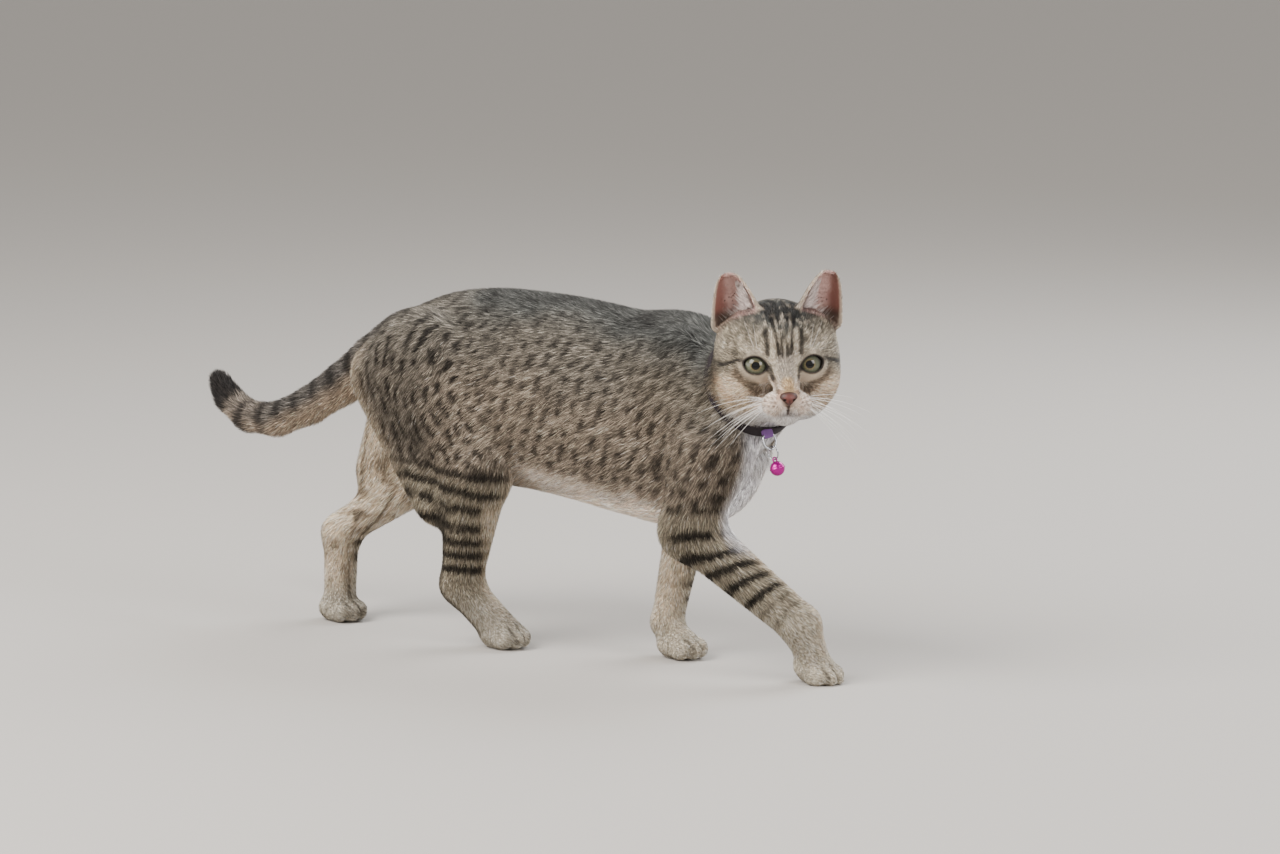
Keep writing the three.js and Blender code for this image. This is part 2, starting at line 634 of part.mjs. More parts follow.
const foreBody = wrap(body, lines(-34, 150, 18), lines(-92, 76, 15), lines(86, 262, 17));
const neckBody = wrap(body, lines(30, 156, 17), lines(-80, 46, 16), lines(116, 270, 17));
const midBody = wrap(body, lines(-152, -2, 30), lines(-76, 76, 17), lines(90, 272, 18));
const hindBody = wrap(body, lines(-240, -108, 16), lines(-86, 82, 15), lines(100, 272, 16));

addPiece('neck', clearOfLimbs(between(neckBody, AT_CHEST, AT_NECK)).subtract(groove), COAT.neck);
addPiece('chest', clearOfLimbs(between(foreBody, AT_LOIN, AT_CHEST)).subtract(groove), COAT.chest);
addPiece('loin', clearOfLimbs(between(midBody, AT_HIPS, AT_LOIN)), COAT.loin);
const tailRoom = region([AT_TAIL], JOIN_GAP / 2);
const hipsWhole = hindBody.intersect(region([flip(AT_HIPS)], -JOIN_GAP / 2));
addPiece('hips', clearOfLimbs(hipsWhole).subtract(tailRoom), COAT.hips);

// Tail in three lengths.
const tailField = (p) => melt(trunk(p), tail(p), BLEND.tail);
const tailRun = (from, to, half) => lengthwise(tailField, TAIL[from][0], TAIL[to][0], 30, half, 16, 9);
addPiece('tail_base', between(tailRun(0, 3, 34), AT_TAIL, AT_TAIL_2)
  .subtract(rightHindRoom).subtract(leftHindRoom), COAT.tail);
addPiece('tail_middle', between(tailRun(3, 5, 26), AT_TAIL_2, AT_TAIL_3), COAT.tail);
addPiece('tail_tip', tailRun(5, 7, 26).intersect(region([AT_TAIL_3], -JOIN_GAP / 2)), COAT.tailTip);

// Shoulder and upper arm, forearm, paw; thigh, shank, metatarsus, paw.
const pawMesh = (field, leg, high) => {
  const axes = frameAxes(leg.pawYaw, 0, 0);
  const floorPoint = [leg.ball[0], leg.ball[1], 0];
  const heights = [-9, -4, ...lines(2, high, 6.8)];
  const place = (q) => fromFrame(q, floorPoint, axes);
  return wrap(field, lines(-30, 30, 6.6), lines(-24, 24, 5.6), heights, place);
};
for (const [side, leg, root] of [
  ['right', RIGHT_FORE, FORE_ROOT.right], ['left', LEFT_FORE, FORE_ROOT.left],
]) {
  const elbow = [add(leg.elbow, [0, 0, 4]), along(leg.elbow, leg.wrist)];
  const wrist = [leg.wrist, bend(leg.elbow, leg.wrist, leg.ball)];
  const across = side === 'right' ? lines(-94, 0, 13) : lines(0, 80, 13);
  const top = wrap(body, lines(-40, 124, 16), across, lines(70, 262, 16)).intersect(region(root, -JOIN_GAP / 2));
  const upper = top.intersect(region([flip(elbow)], -JOIN_GAP / 2));
  addPiece(`shoulder_${side}`, upper.subtract(groove), COAT.shoulder);
  const lower = lengthwise(foreAndPaw(leg), leg.elbow, leg.wrist, 26, 27, 17, 9, 8)
    .intersect(region(root, -JOIN_GAP / 2));
  addPiece(`forearm_${side}`, between(lower, elbow, wrist), COAT.shank);
  const toes = pawMesh(foreAndPaw(leg), leg, 52);
  addPiece(`forepaw_${side}`, toes.intersect(region([wrist], -JOIN_GAP / 2)).intersect(region([FLOOR])), COAT.foot);
}
for (const [side, leg, root] of [
  ['right', RIGHT_HIND, HIND_ROOT.right], ['left', LEFT_HIND, HIND_ROOT.left],
]) {
  const knee = [leg.knee, bend(leg.hip, leg.knee, leg.heel)];
  const hock = [leg.heel, bend(leg.knee, leg.heel, leg.ball)];
  const instep = [mix(leg.heel, leg.ball, 0.62), along(leg.heel, leg.ball)];
  const across = side === 'right' ? lines(-86, 0, 13) : lines(0, 84, 13);
  const top = wrap(body, lines(-262, -74, 16), across, lines(76, 266, 17)).intersect(region(root, -JOIN_GAP / 2));
  addPiece(`thigh_${side}`, top.intersect(region([flip(knee)], -JOIN_GAP / 2)), COAT.thigh);
  const low = lengthwise(hindAndPaw(leg), leg.knee, leg.heel, 30, 36, 17, 9.8)
    .intersect(region(root, -JOIN_GAP / 2));
  addPiece(`shank_${side}`, between(low, knee, hock), COAT.shank);
  const long = lengthwise(hindAndPaw(leg), leg.heel, leg.ball, 26, 24, 12, 8, -4);
  addPiece(`hock_${side}`, between(long, hock, instep), COAT.foot);
  const toes = pawMesh(hindAndPaw(leg), leg, 34);
  addPiece(`hindpaw_${side}`, toes.intersect(region([instep], -JOIN_GAP / 2)).intersect(region([FLOOR])), COAT.foot);
}
addPiece('collar', band(COLLAR.width, -COLLAR.sink, COLLAR.thick - COLLAR.sink), '#33292b', { roughness: 0.8 });

// Keeper, D-ring, split ring and bell, each hung in the next.
const hangOut = unit(HANG.outward);
const swing = (HANG.swing * Math.PI) / 180;
const plumbUp = cross(hangOut, unit(HANG.aside));
const hangSide = add(mul(unit(HANG.aside), Math.cos(swing)), mul(plumbUp, Math.sin(swing)));
const hangUp = cross(hangOut, hangSide);
const hung = (drop, out = 0) => add(HANG.top, add(mul(hangUp, -drop), mul(hangOut, out)));
// Axes of a ring that faces outwards turned by the angle towards the side.
function ringAxes(degrees) {
  const a = (degrees * Math.PI) / 180;
  const faces = add(mul(hangOut, Math.cos(a)), mul(hangSide, Math.sin(a)));
  return [cross(hangUp, faces), hangUp, faces];
}
function ringSolid(wide, high, wire, at, axes) {
  const torus = new THREE.TorusGeometry(1, 0.1, 5, 14);
  return fromGeometry(torus, (q) => {
    const round = Math.hypot(q[0], q[1]);
    const way = [q[0] / round, q[1] / round];
    const bulge = (round - 1) * 10 * wire;
    return fromFrame([way[0] * (wide + bulge), way[1] * (high + bulge), q[2] * 10 * wire], at, axes);
  });
}
const dAxes = ringAxes(30);
const dRing = (extra) => ringSolid(D_RING.wide, D_RING.high, D_RING.wire + extra, hung(D_RING.drop), dAxes);
const block = fromGeometry(new THREE.BoxGeometry(7.6, 7, 4.4), (q) => fromFrame(q, hung(0.2, -0.6), dAxes));
const clearBand = band(COLLAR.width + 2 * JOIN_GAP, -14, COLLAR.thick - COLLAR.sink + JOIN_GAP);
addPiece('keeper', block.subtract(dRing(JOIN_GAP)).subtract(clearBand), '#7b5a8c', { roughness: 0.6 });
addPiece('d_ring', dRing(0), '#c4c6c8', { roughness: 0.25, metalness: 1 });
addPiece('split_ring', ringSolid(SPLIT_RING.radius, SPLIT_RING.radius, SPLIT_RING.wire,
  hung(SPLIT_RING.drop), ringAxes(-45)), '#c4c6c8', { roughness: 0.25, metalness: 1 });

const ballAt = (r, at, n) => fromGeometry(new THREE.SphereGeometry(r, n, Math.round(n * 0.6)),
  (q) => fromFrame([q[0], q[1], q[2]], at, dAxes));
const bellAt = hung(BELL.drop);
const seam = fromGeometry(new THREE.TorusGeometry(BELL.radius, BELL.seam, 4, 12),
  (q) => fromFrame([q[0], q[2], -q[1]], bellAt, dAxes));
const slot = fromGeometry(new THREE.BoxGeometry(8.4, 6, BELL.slot),
  (q) => fromFrame([q[0], q[1] - 4.4, q[2]], bellAt, dAxes));
const loop = ringSolid(BELL.loop, BELL.loop, BELL.loopWire, hung(BELL.loopDrop), ringAxes(40));
const bellShell = ballAt(BELL.radius, bellAt, 12).add(seam).add(loop)
  .subtract(ballAt(BELL.radius - BELL.wall, bellAt, 10)).subtract(slot);
addPiece('bell', bellShell, '#c21c8c', { roughness: 0.3, metalness: 0.6 });
const pellet = ballAt(BELL.pellet, add(bellAt, mul(hangUp, -1.9)), 7);
addPiece('bell_pellet', pellet, '#8f8f92', { roughness: 0.4, metalness: 1 });

export default cat;
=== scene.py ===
"""A slim grey tabby house cat in mid walk, head turned, with collar, rings and bell.

The coat is the zero level of one distance field, melted together from rounded masses.
The skin is the same field with every mass made thinner by the depth of its coat.
Tufts start on the skin and lie along the coat; skin and tufts take their markings, and the shade painted into
them, from one function.
Lengths in this file are millimetres in the cat's own frame unless a name says metres.
"""

import math

import bpy
import numpy as np
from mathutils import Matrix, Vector


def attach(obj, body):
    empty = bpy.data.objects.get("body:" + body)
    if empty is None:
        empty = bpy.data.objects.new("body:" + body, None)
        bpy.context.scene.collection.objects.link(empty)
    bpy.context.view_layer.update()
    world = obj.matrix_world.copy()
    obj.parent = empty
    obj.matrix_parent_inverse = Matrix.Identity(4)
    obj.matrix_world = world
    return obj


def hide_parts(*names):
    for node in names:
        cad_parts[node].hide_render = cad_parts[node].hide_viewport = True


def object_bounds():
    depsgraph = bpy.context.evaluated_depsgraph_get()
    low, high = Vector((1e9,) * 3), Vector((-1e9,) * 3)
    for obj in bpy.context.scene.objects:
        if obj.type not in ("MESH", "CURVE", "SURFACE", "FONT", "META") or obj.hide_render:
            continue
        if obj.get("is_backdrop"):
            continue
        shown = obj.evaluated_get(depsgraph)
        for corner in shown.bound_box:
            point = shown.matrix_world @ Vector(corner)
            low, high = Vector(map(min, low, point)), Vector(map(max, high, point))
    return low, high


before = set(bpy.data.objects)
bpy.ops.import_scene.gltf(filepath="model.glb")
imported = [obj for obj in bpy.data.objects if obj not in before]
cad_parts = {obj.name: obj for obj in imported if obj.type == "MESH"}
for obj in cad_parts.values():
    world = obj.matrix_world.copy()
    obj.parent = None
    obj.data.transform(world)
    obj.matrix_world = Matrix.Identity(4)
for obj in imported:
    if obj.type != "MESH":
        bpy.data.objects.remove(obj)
bounds_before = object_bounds()

# ---------------------------------------------------------------- sizes

ORIGIN = np.array([-114.723, -9.52, 0.0])  # middle of the footprint in the cat's own frame
SEED = 11

# Trunk sections along the back: x, top, underside, half width.
TRUNK = np.array([
    [-226, 217, 176, 15], [-212, 228, 158, 28], [-190, 240.5, 138, 39], [-160, 252, 124, 45],
    [-125, 257.5, 117, 48], [-85, 257.5, 114.5, 50], [-45, 255, 110, 51], [-5, 250, 104, 50],
    [35, 246, 99, 46], [62, 236, 103, 41], [84, 216, 116, 34], [97, 191, 137, 18],
])
TRUNK_TAPER = 0.10
NECK = [((40, 0, 203), 43), ((70, -3, 192), 40), ((94, -13, 196), 34), ((112, -24, 210), 32)]
TAIL = [
    ((-203, 0, 215), 20), ((-232, 2, 198), 18), ((-264, 6, 177), 16), ((-299, 12, 157.5), 14.5),
    ((-334, 19, 144), 13.5), ((-366, 26, 143), 12.5), ((-390, 32, 155), 11.5), ((-400, 35, 166), 9.5),
]
RIGHT_FORE = dict(
    scapula=(50, -27, 226), shoulder=(80, -34, 160), elbow=(64, -36, 103), wrist=(142, -16, 41),
    ball=(149, -6, 11), elbow_r=20, forearm_r=19, wrist_r=14.5, yaw=-8, pitch=-14,
)
LEFT_FORE = dict(
    scapula=(30, 26, 224), shoulder=(52, 30, 158), elbow=(20, 33, 103), wrist=(8, 23, 24),
    ball=(20, 20, 11), elbow_r=18, forearm_r=16, wrist_r=11.5, yaw=-5, pitch=0,
)
RIGHT_HIND = dict(
    hip=(-164, -30, 201), knee=(-112, -40, 131), heel=(-137, -24, 43), ball=(-108, -15, 11),
    ischium=(-203, -22, 190), ham=(-153, -31, 106),
    knee_r=25, shank_r=24, hock_r=14.5, heel_r=13.5, instep_r=13.5, yaw=-5, pitch=0,
)
LEFT_HIND = dict(
    hip=(-166, 30, 201), knee=(-204, 37, 116), heel=(-275, 18, 62), ball=(-272, 11, 11),
    ischium=(-212, 26, 188), ham=(-248, 30, 112),
    knee_r=24, shank_r=20, hock_r=12.5, heel_r=13, instep_r=12, yaw=-5, pitch=0,
)
SCAPULA_R, SHOULDER_R, HIP_R, HAM_R = 16, 29, 44, (30, 20)
PAD_R, TOE_R = (17, 14, 10.5), (9, 5.6, 7.2)
TOES = [(8, -10.5), (13.5, -3.8), (13.5, 3.8), (8, 10.5)]

HEAD_AT = np.array([134.5, -34.5, 225])
EYE_AT = (18.6, 17.8, 0.0)
EYE_R = 10.8
NOSE_AT, NOSE_R = (47.5, 0.0, -20.0), (5.2, 6.9, 4.9)
EAR_BASE, EAR_TIP = np.array([3.0, 27.5, 28]), np.array([10.0, 35.5, 63])
EAR_HALF, EAR_TIP_HALF, EAR_TAPER, EAR_DEPTH = 17.6, 1.4, 0.46, 0.7
BLEND = dict(neck=22, head=10, ear=5, tail=12, foreleg=12, right_hind=9, left_hind=14, paw=6)

# How deep the coat is on each mass.
COAT = dict(trunk=3.4, neck=3.8, head=1.6, tail=4.0, foreleg=2.8, cannon=1.6, thigh=3.4, shank=2.2, paw=1.0)

# ---------------------------------------------------------------- rounded masses


def unit(v):
    """The same direction with length 1."""
    v = np.asarray(v, float)
    return v / np.maximum(np.linalg.norm(v, axis=-1, keepdims=True), 1e-9)


def melt(a, b, k):
    """Union of two masses: h = clamp(1/2 + (b - a)/2k), then the mix of b and a by h less k h (1 - h)."""
    h = np.clip(0.5 + 0.5 * (b - a) / k, 0, 1)
    return b + (a - b) * h - k * h * (1 - h)


def melt_cut(a, b, k):
    """The part of a inside b as well, with the edge between them rounded by k."""
    return -melt(-a, -b, k)


def limb(p, a, b, ra, rb, flat=1.0):
    """Distance to a line from a to b less a radius that runs from ra to rb; flat below 1 is thinner in y."""
    a = np.asarray(a, float)
    ba = np.asarray(b, float) - a
    d = p - a
    t = np.clip(d @ (ba / (ba @ ba)), 0, 1)
    d = d - t[..., None] * ba
    return np.sqrt(d[..., 0] ** 2 + (d[..., 1] / flat) ** 2 + d[..., 2] ** 2) - (ra + (rb - ra) * t)


def egg(p, c, r):
    """Near distance to an ellipsoid: k0 (k0 - 1) / k1, k0 the length of d/r and k1 that of d/r^2."""
    d = p - np.asarray(c, float)
    r = np.asarray(r, float)
    k0 = np.sqrt(((d / r) ** 2).sum(-1))
    k1 = np.sqrt(((d / r ** 2) ** 2).sum(-1))
    return k0 * (k0 - 1) / np.maximum(k1, 1e-9)


def stations(x):
    """Top, underside and half width at x: a cubic through the trunk sections with centred slopes."""
    xs = TRUNK[:, 0]
    slopes = np.gradient(TRUNK[:, 1:], xs, axis=0)
    xc = np.clip(x, xs[0], xs[-1])
    i = np.clip(np.searchsorted(xs, xc, side="right") - 1, 0, len(xs) - 2)
    h = (xs[i + 1] - xs[i])[..., None]
    t = ((xc - xs[i]) / h[..., 0])[..., None]
    y0, y1 = TRUNK[i, 1:], TRUNK[i + 1, 1:]
    rise = slopes[i] * h * t * (1 - t) ** 2 - slopes[i + 1] * h * t * t * (1 - t)
    return y0 * (1 + 2 * t) * (1 - t) ** 2 + rise + y1 * t * t * (3 - 2 * t)


def trunk(p):
    """Distance to the trunk: |d| - |d| / rho, rho being d measured in half widths and half heights."""
    top, low, half = np.moveaxis(stations(p[..., 0]), -1, 0)
    h = (top - low) / 2
    dz = p[..., 2] - (top + low) / 2
    w = half * (1 - TRUNK_TAPER * np.clip(dz / h, -1, 1))
    rho = np.hypot(p[..., 1] / w, dz / h)
    r = np.hypot(p[..., 1], dz)
    flat = np.where(rho > 1e-6, r - r / np.maximum(rho, 1e-6), -np.minimum(w, h))
    past = np.maximum(np.maximum(p[..., 0] - TRUNK[-1, 0], TRUNK[0, 0] - p[..., 0]), 0)
    return np.where(past > 0, np.hypot(np.maximum(flat, 0), past), flat)


def chain(p, points, k):
    """Limbs through a list of centres and radii, melted one after the other."""
    f = None
    for (a, ra), (b, rb) in zip(points, points[1:]):
        g = limb(p, a, b, ra, rb)
        f = g if f is None else melt(f, g, k)
    return f


def axes_of(yaw, pitch, roll=0.0):
    """Rows ahead, left, up of a frame turned by yaw about z, nose up by pitch, then rolled about ahead."""
    y, p, r = np.radians([yaw, pitch, roll])
    ahead = np.array([np.cos(y) * np.cos(p), np.sin(y) * np.cos(p), np.sin(p)])
    left = np.array([-np.sin(y), np.cos(y), 0.0])
    left = left * np.cos(r) + np.cross(ahead, left) * np.sin(r)
    return np.array([ahead, left, np.cross(ahead, left)])


HEAD_AXES = axes_of(-50, 1.5, 0.7)


def in_head(p):
    """Places in the head's own frame: ahead, left, up from its middle."""
    return (p - HEAD_AT) @ HEAD_AXES.T


def out_head(q):
    """Places in the cat's frame from places in the head's."""
    return HEAD_AT + np.asarray(q, float) @ HEAD_AXES


def foreleg(p, leg, thin=0.0):
    """Shoulder blade, upper arm, forearm and pastern as melted limbs, without the paw."""
    upper, lower = thin * COAT["foreleg"], thin * COAT["cannon"]
    f = limb(p, leg["scapula"], leg["shoulder"], SCAPULA_R - upper, SHOULDER_R - upper, 0.62)
    f = melt(f, limb(p, leg["shoulder"], leg["elbow"], SHOULDER_R - 1 - upper, leg["elbow_r"] - upper), 18)
    f = melt(f, limb(p, leg["elbow"], leg["wrist"], leg["forearm_r"] - upper, leg["wrist_r"] - lower), 14)
    return melt(f, limb(p, leg["wrist"], leg["ball"], leg["wrist_r"] - 0.5 - lower, 11 - lower), 6)


def hindleg(p, leg, thin=0.0):
    """Thigh, ham, shank and hock as melted limbs, without the paw."""
    thigh, shank, low = thin * COAT["thigh"], thin * COAT["shank"], thin * COAT["cannon"]
    over_heel = np.add(leg["heel"], (0, 0, 4))
    f = limb(p, leg["hip"], leg["knee"], HIP_R - thigh, leg["knee_r"] - thigh, 0.72)
    f = melt(f, limb(p, leg["ischium"], leg["ham"], HAM_R[0] - thigh, HAM_R[1] - shank, 0.75), 16)
    f = melt(f, limb(p, leg["knee"], over_heel, leg["shank_r"] - shank, leg["hock_r"] - low), 16)
    return melt(f, limb(p, leg["heel"], leg["ball"], leg["heel_r"] - low, leg["instep_r"] - low), 12)


def paw(p, leg, thin=0.0):
    """A pad and four toes in the paw's own frame."""
    q = (p - np.array(leg["ball"], float)) @ axes_of(leg["yaw"], leg["pitch"]).T
    f = egg(q, (0, 0, -2), PAD_R)
    for x, y in TOES:
        f = melt(f, egg(q, (x, y, -3.5), TOE_R), 2)
    return f + thin * COAT["paw"]


def head_shape(q):
    """Skull, brow, temples, cheeks, nose bridge, whisker pads, chin and jaw, in the head's own frame."""
    m = np.stack([q[..., 0], np.abs(q[..., 1]), q[..., 2]], -1)
    f = egg(m, (-10, 0, 12), (37, 34, 31))
    f = melt(f, egg(m, (8, 0, 13), (24, 27, 23)), 10)
    f = melt(f, egg(m, (-6, 23, 13), (23, 18.5, 21)), 10)
    f = melt(f, egg(m, (-4, 22, -10), (27, 21.5, 24)), 14)
    f = melt(f, limb(m, (20, 0, 2), (42, 0, -15), 13, 8.5), 8)
    f = melt(f, egg(m, (38, 7.6, -25), (13, 9.8, 9.3)), 5)
    f = melt(f, egg(m, (33, 0, -33.5), (11, 9.5, 6)), 5)
    return melt(f, limb(m, (26, 0, -30.5), (-8, 18, -26), 8.5, 15), 8)


EAR_LONG = np.linalg.norm(EAR_TIP - EAR_BASE)
EAR_U = (EAR_TIP - EAR_BASE) / EAR_LONG
EAR_V = unit(np.array([0.95, 0.22, -0.2]) - EAR_U * (np.array([0.95, 0.22, -0.2]) @ EAR_U))
EAR_S = np.cross(EAR_V, EAR_U)
EAR_OUTWARD = 1.0 if EAR_S[1] > 0 else -1.0  # which way across the ear points away from the skull


def ear_place(q):
    """Up the ear, across it and out of its open side, for the nearer of the two ears."""
    d = np.stack([q[..., 0], np.abs(q[..., 1]), q[..., 2]], -1) - EAR_BASE
    return d @ EAR_U, d @ EAR_S, d @ EAR_V


def half_oval(s, back, wide, deep):
    """Near distance to the half ellipse of the ear's section, negative inside."""
    wide, deep = np.maximum(wide, 0.5), np.maximum(deep, 0.4)
    r = np.hypot(s, back)
    rho = np.hypot(s / wide, back / deep)
    return np.where(rho > 1e-6, r - r / np.maximum(rho, 1e-6), -deep) * 0.85


def ear_half(u):
    """Half the ear's width at the height u."""
    return EAR_TIP_HALF + EAR_HALF * (1 - np.clip(u / EAR_LONG, 0, 1)) ** EAR_TAPER


def ear_outside(q):
    """The ear as if it were solid: a half ellipse behind the plane of its rim."""
    u, s, v = ear_place(q)
    half = ear_half(u) - 0.3
    outer = melt_cut(half_oval(s, np.minimum(v, 0), half, half * EAR_DEPTH), v, 1.0)
    return melt_cut(melt_cut(outer, u - EAR_LONG, 3.5), -u - 6, 6)


def ear(q):
    """A half cup: the solid ear less an inner half ellipse, which leaves a thin wall."""
    u, s, v = ear_place(q)
    t = np.clip(u / EAR_LONG, 0, 1)
    half = ear_half(u) - 0.3
    back = np.minimum(v, 0)
    outer = ear_outside(q)
    wall = 1.7 + 1.2 * (1 - t)
    inner = np.maximum(half_oval(s, back, half - wall, half * EAR_DEPTH - wall), -(u - 4) * 0.6)
    return melt_cut(outer, -np.maximum(inner, u - (EAR_LONG - 3)), 0.8)


def ear_bowl(q):
    """The room inside the ear, carried down into the head and lower at its outer side."""
    u, s, v = ear_place(q)
    half = ear_half(u) - 3.4
    outer_side = np.clip(s / half * EAR_OUTWARD, -1, 1)
    floor = 7.0 - 8.5 * outer_side
    bowl = half_oval(s, np.minimum(v, 0), half, half * EAR_DEPTH - 0.5)
    bowl = np.maximum(bowl, v - 2.5 - 2.5 * np.clip(outer_side, 0, 1))
    return np.maximum(np.maximum(bowl, (floor - u) * 0.7), u - EAR_LONG + 8)


# ---------------------------------------------------------------- eyes and mouth in the skin

LID_WIDE, LID_HIGH, LID_LOW = 8.3, 5.1, 5.9  # half width, upper and lower rise of the opening
LID_TILT = 13.0  # degrees that the outer corner stands above the inner


def eye_axes(side):
    """Rows out of the lids, across them towards the outer corner, and up, for the eye of one side."""
    out = unit(np.array([0.962, side * 0.19, 0.15]))
    across = unit(np.cross((0, 0, 1.0), out)) * side
    up = np.cross(out, across) * side
    a = math.radians(LID_TILT)
    return np.array([out, across * math.cos(a) + up * math.sin(a), up * math.cos(a) - across * math.sin(a)])


EYE_AXES = {side: eye_axes(side) for side in (1, -1)}


def eye_place(q):
    """Distance from the nearer eye's middle, then how far across its lids, up them and out of them."""
    m = np.stack([q[..., 0], np.abs(q[..., 1]), q[..., 2]], -1) - np.array(EYE_AT)
    local = m @ EYE_AXES[1].T
    return np.linalg.norm(m, axis=-1), local[..., 1], local[..., 2], local[..., 0]


def almond(a, b):
    """Lens between an upper and a lower arc through both corners of the lids; below 0 inside."""
    r_up = (LID_WIDE ** 2 + LID_HIGH ** 2) / (2 * LID_HIGH)
    r_low = (LID_WIDE ** 2 + LID_LOW ** 2) / (2 * LID_LOW)
    upper = np.hypot(a, b - (LID_HIGH - r_up)) - r_up
    lower = np.hypot(a, b + (LID_LOW - r_low)) - r_low
    return melt_cut(upper, lower, 1.2)


def mouth_line(y):
    """Height of the mouth at the distance y from the middle: a shallow double curve."""
    t = np.clip(y / 15, 0, 1)
    return -30.8 + 2.2 * t - 1.9 * np.sin(t * math.pi)


def face_details(f, q):
    """Lids round the eyes, the seat of the nose, and the line of the mouth, melted and cut in the head."""
    r, a, b, out = eye_place(q)
    brow = melt(f, np.where(out > -2, r - 12.3, 9.0), 4.5)
    f = np.where(out > -2, brow, f)
    opening = np.maximum(np.maximum(almond(a, b) * 0.9, 10.0 - r), -out)
    f = melt_cut(f, -opening, 0.7)
    y = np.abs(q[..., 1])
    # the split of the lip: down from the nose, then out and up under the whisker pads
    lip = np.hypot(y, np.maximum(np.abs(q[..., 2] + 27.0) - 2.8, 0)) + np.maximum(44 - q[..., 0], 0) * 0.35
    f = melt_cut(f, 0.75 - lip, 0.7)
    mouth = np.hypot(q[..., 2] - mouth_line(y), np.maximum(y - 14.5, 0)) + np.maximum(22 - q[..., 0], 0) * 0.5
    return melt_cut(f, 0.8 - mouth, 0.9)


def masses(p, thin):
    """Every mass of the body by itself, made thinner by its coat's depth where thin is 1."""
    return dict(
        trunk=trunk(p) + thin * COAT["trunk"],
        neck=chain(p, NECK, 10) + thin * COAT["neck"],
        head=head_shape(in_head(p)) + thin * COAT["head"],
        tail=chain(p, TAIL, 4) + thin * COAT["tail"],
        right_fore=foreleg(p, RIGHT_FORE, thin),
        left_fore=foreleg(p, LEFT_FORE, thin),
        right_hind=hindleg(p, RIGHT_HIND, thin),
        left_hind=hindleg(p, LEFT_HIND, thin),
    )


def body(p, thin=0.0, details=False):
    """The whole surface, negative inside: masses melted in turn, then ears, paws and the level soles."""
    m = masses(p, thin)
    q = in_head(p)
    head = face_details(m["head"], q) if details else m["head"]
    f = melt(m["trunk"], m["neck"], BLEND["neck"])
    f = melt(f, head, BLEND["head"])
    f = melt(f, m["tail"], BLEND["tail"])
    f = melt(f, m["right_fore"], BLEND["foreleg"])
    f = melt(f, m["left_fore"], BLEND["foreleg"])
    f = melt(f, m["right_hind"], BLEND["right_hind"])
    f = melt(f, m["left_hind"], BLEND["left_hind"])
    shell = melt(f, ear_outside(q), BLEND["ear"])
    f = melt(f, ear(q), BLEND["ear"])
    if details:
        _, _, v = ear_place(q)
        bowl = np.maximum(ear_bowl(q), shell + 1.7 - 3 * np.maximum(v + 3, 0))
        f = melt_cut(f, -bowl, 2.0)
    for leg in (RIGHT_FORE, LEFT_FORE, RIGHT_HIND, LEFT_HIND):
        f = melt(f, paw(p, leg, thin), BLEND["paw"])
    return melt_cut(f, -p[..., 2] + 0.15, 1.0)


def slope(field, p, step=0.3):
    """Gradient of a field by central differences."""
    return np.stack([(field(p + d) - field(p - d)) / (2 * step) for d in np.eye(3) * step], -1)


# ---------------------------------------------------------------- meshing


def in_chunks(function, points, size=120000):
    """The function's values for all points, worked out part by part to spare memory."""
    return np.concatenate([function(part) for part in np.array_split(points, len(points) // size + 1)])


def narrow_band(field, xs, ys, zs, block=8):
    """Field on a grid, worked out in full only in blocks whose middle lies near the surface."""
    n = [len(v) for v in (xs, ys, zs)]
    starts = [np.arange(0, m, block) for m in n]
    ends = [np.minimum(s + block, m - 1) for s, m in zip(starts, n)]
    lows = [v[s] for v, s in zip((xs, ys, zs), starts)]
    highs = [v[e] for v, e in zip((xs, ys, zs), ends)]
    mids = np.stack(np.meshgrid(*[(a + b) / 2 for a, b in zip(lows, highs)], indexing="ij"), -1)
    half = np.stack(np.meshgrid(*[(b - a) / 2 for a, b in zip(lows, highs)], indexing="ij"), -1)
    rough = field(mids)
    near = np.abs(rough) < np.linalg.norm(half, axis=-1) * 1.5 + 6
    spread = [np.repeat(np.arange(len(s)), block)[:m] for s, m in zip(starts, n)]
    grid = rough[np.ix_(*spread)].copy()
    mask = near[np.ix_(*spread)]
    i, j, k = np.nonzero(mask)
    points = np.stack([xs[i], ys[j], zs[k]], -1)
    grid[mask] = in_chunks(field, points, 150000)
    return grid


def surface_nets(grid, axes):
    """One vertex in each cell that the surface crosses, the mean of its edge crossings, joined by quads."""
    inside = grid < 0
    shape = np.array(grid.shape)
    total = np.zeros((*(shape - 1), 3))
    count = np.zeros(shape - 1)
    sides = []
    for a in range(3):
        u, w = (a + 1) % 3, (a + 2) % 3
        low = [slice(None)] * 3
        high = [slice(None)] * 3
        low[a], high[a] = slice(0, -1), slice(1, None)
        i = np.argwhere(inside[tuple(low)] != inside[tuple(high)])
        j = i.copy()
        j[:, a] += 1
        fa, fb = grid[tuple(i.T)], grid[tuple(j.T)]
        place = np.stack([axes[n][i[:, n]] for n in range(3)], -1).astype(float)
        place[:, a] += fa / (fa - fb) * (axes[a][j[:, a]] - axes[a][i[:, a]])
        corners = []
        for du, dw in ((-1, -1), (0, -1), (0, 0), (-1, 0)):
            cell = i.copy()
            cell[:, u] += du
            cell[:, w] += dw
            np.add.at(total, tuple(cell.T), place)
            np.add.at(count, tuple(cell.T), 1)
            corners.append(cell)
        sides.append((corners, fa < 0))
    used = count > 0
    number = np.full(used.shape, -1)
    number[used] = np.arange(used.sum())
    quads = []
    for corners, out in sides:
        q = np.stack([number[tuple(c.T)] for c in corners], -1)
        quads.append(np.where(out[:, None], q, q[:, ::-1]))
    return total[used] / count[used][:, None], np.concatenate(quads)


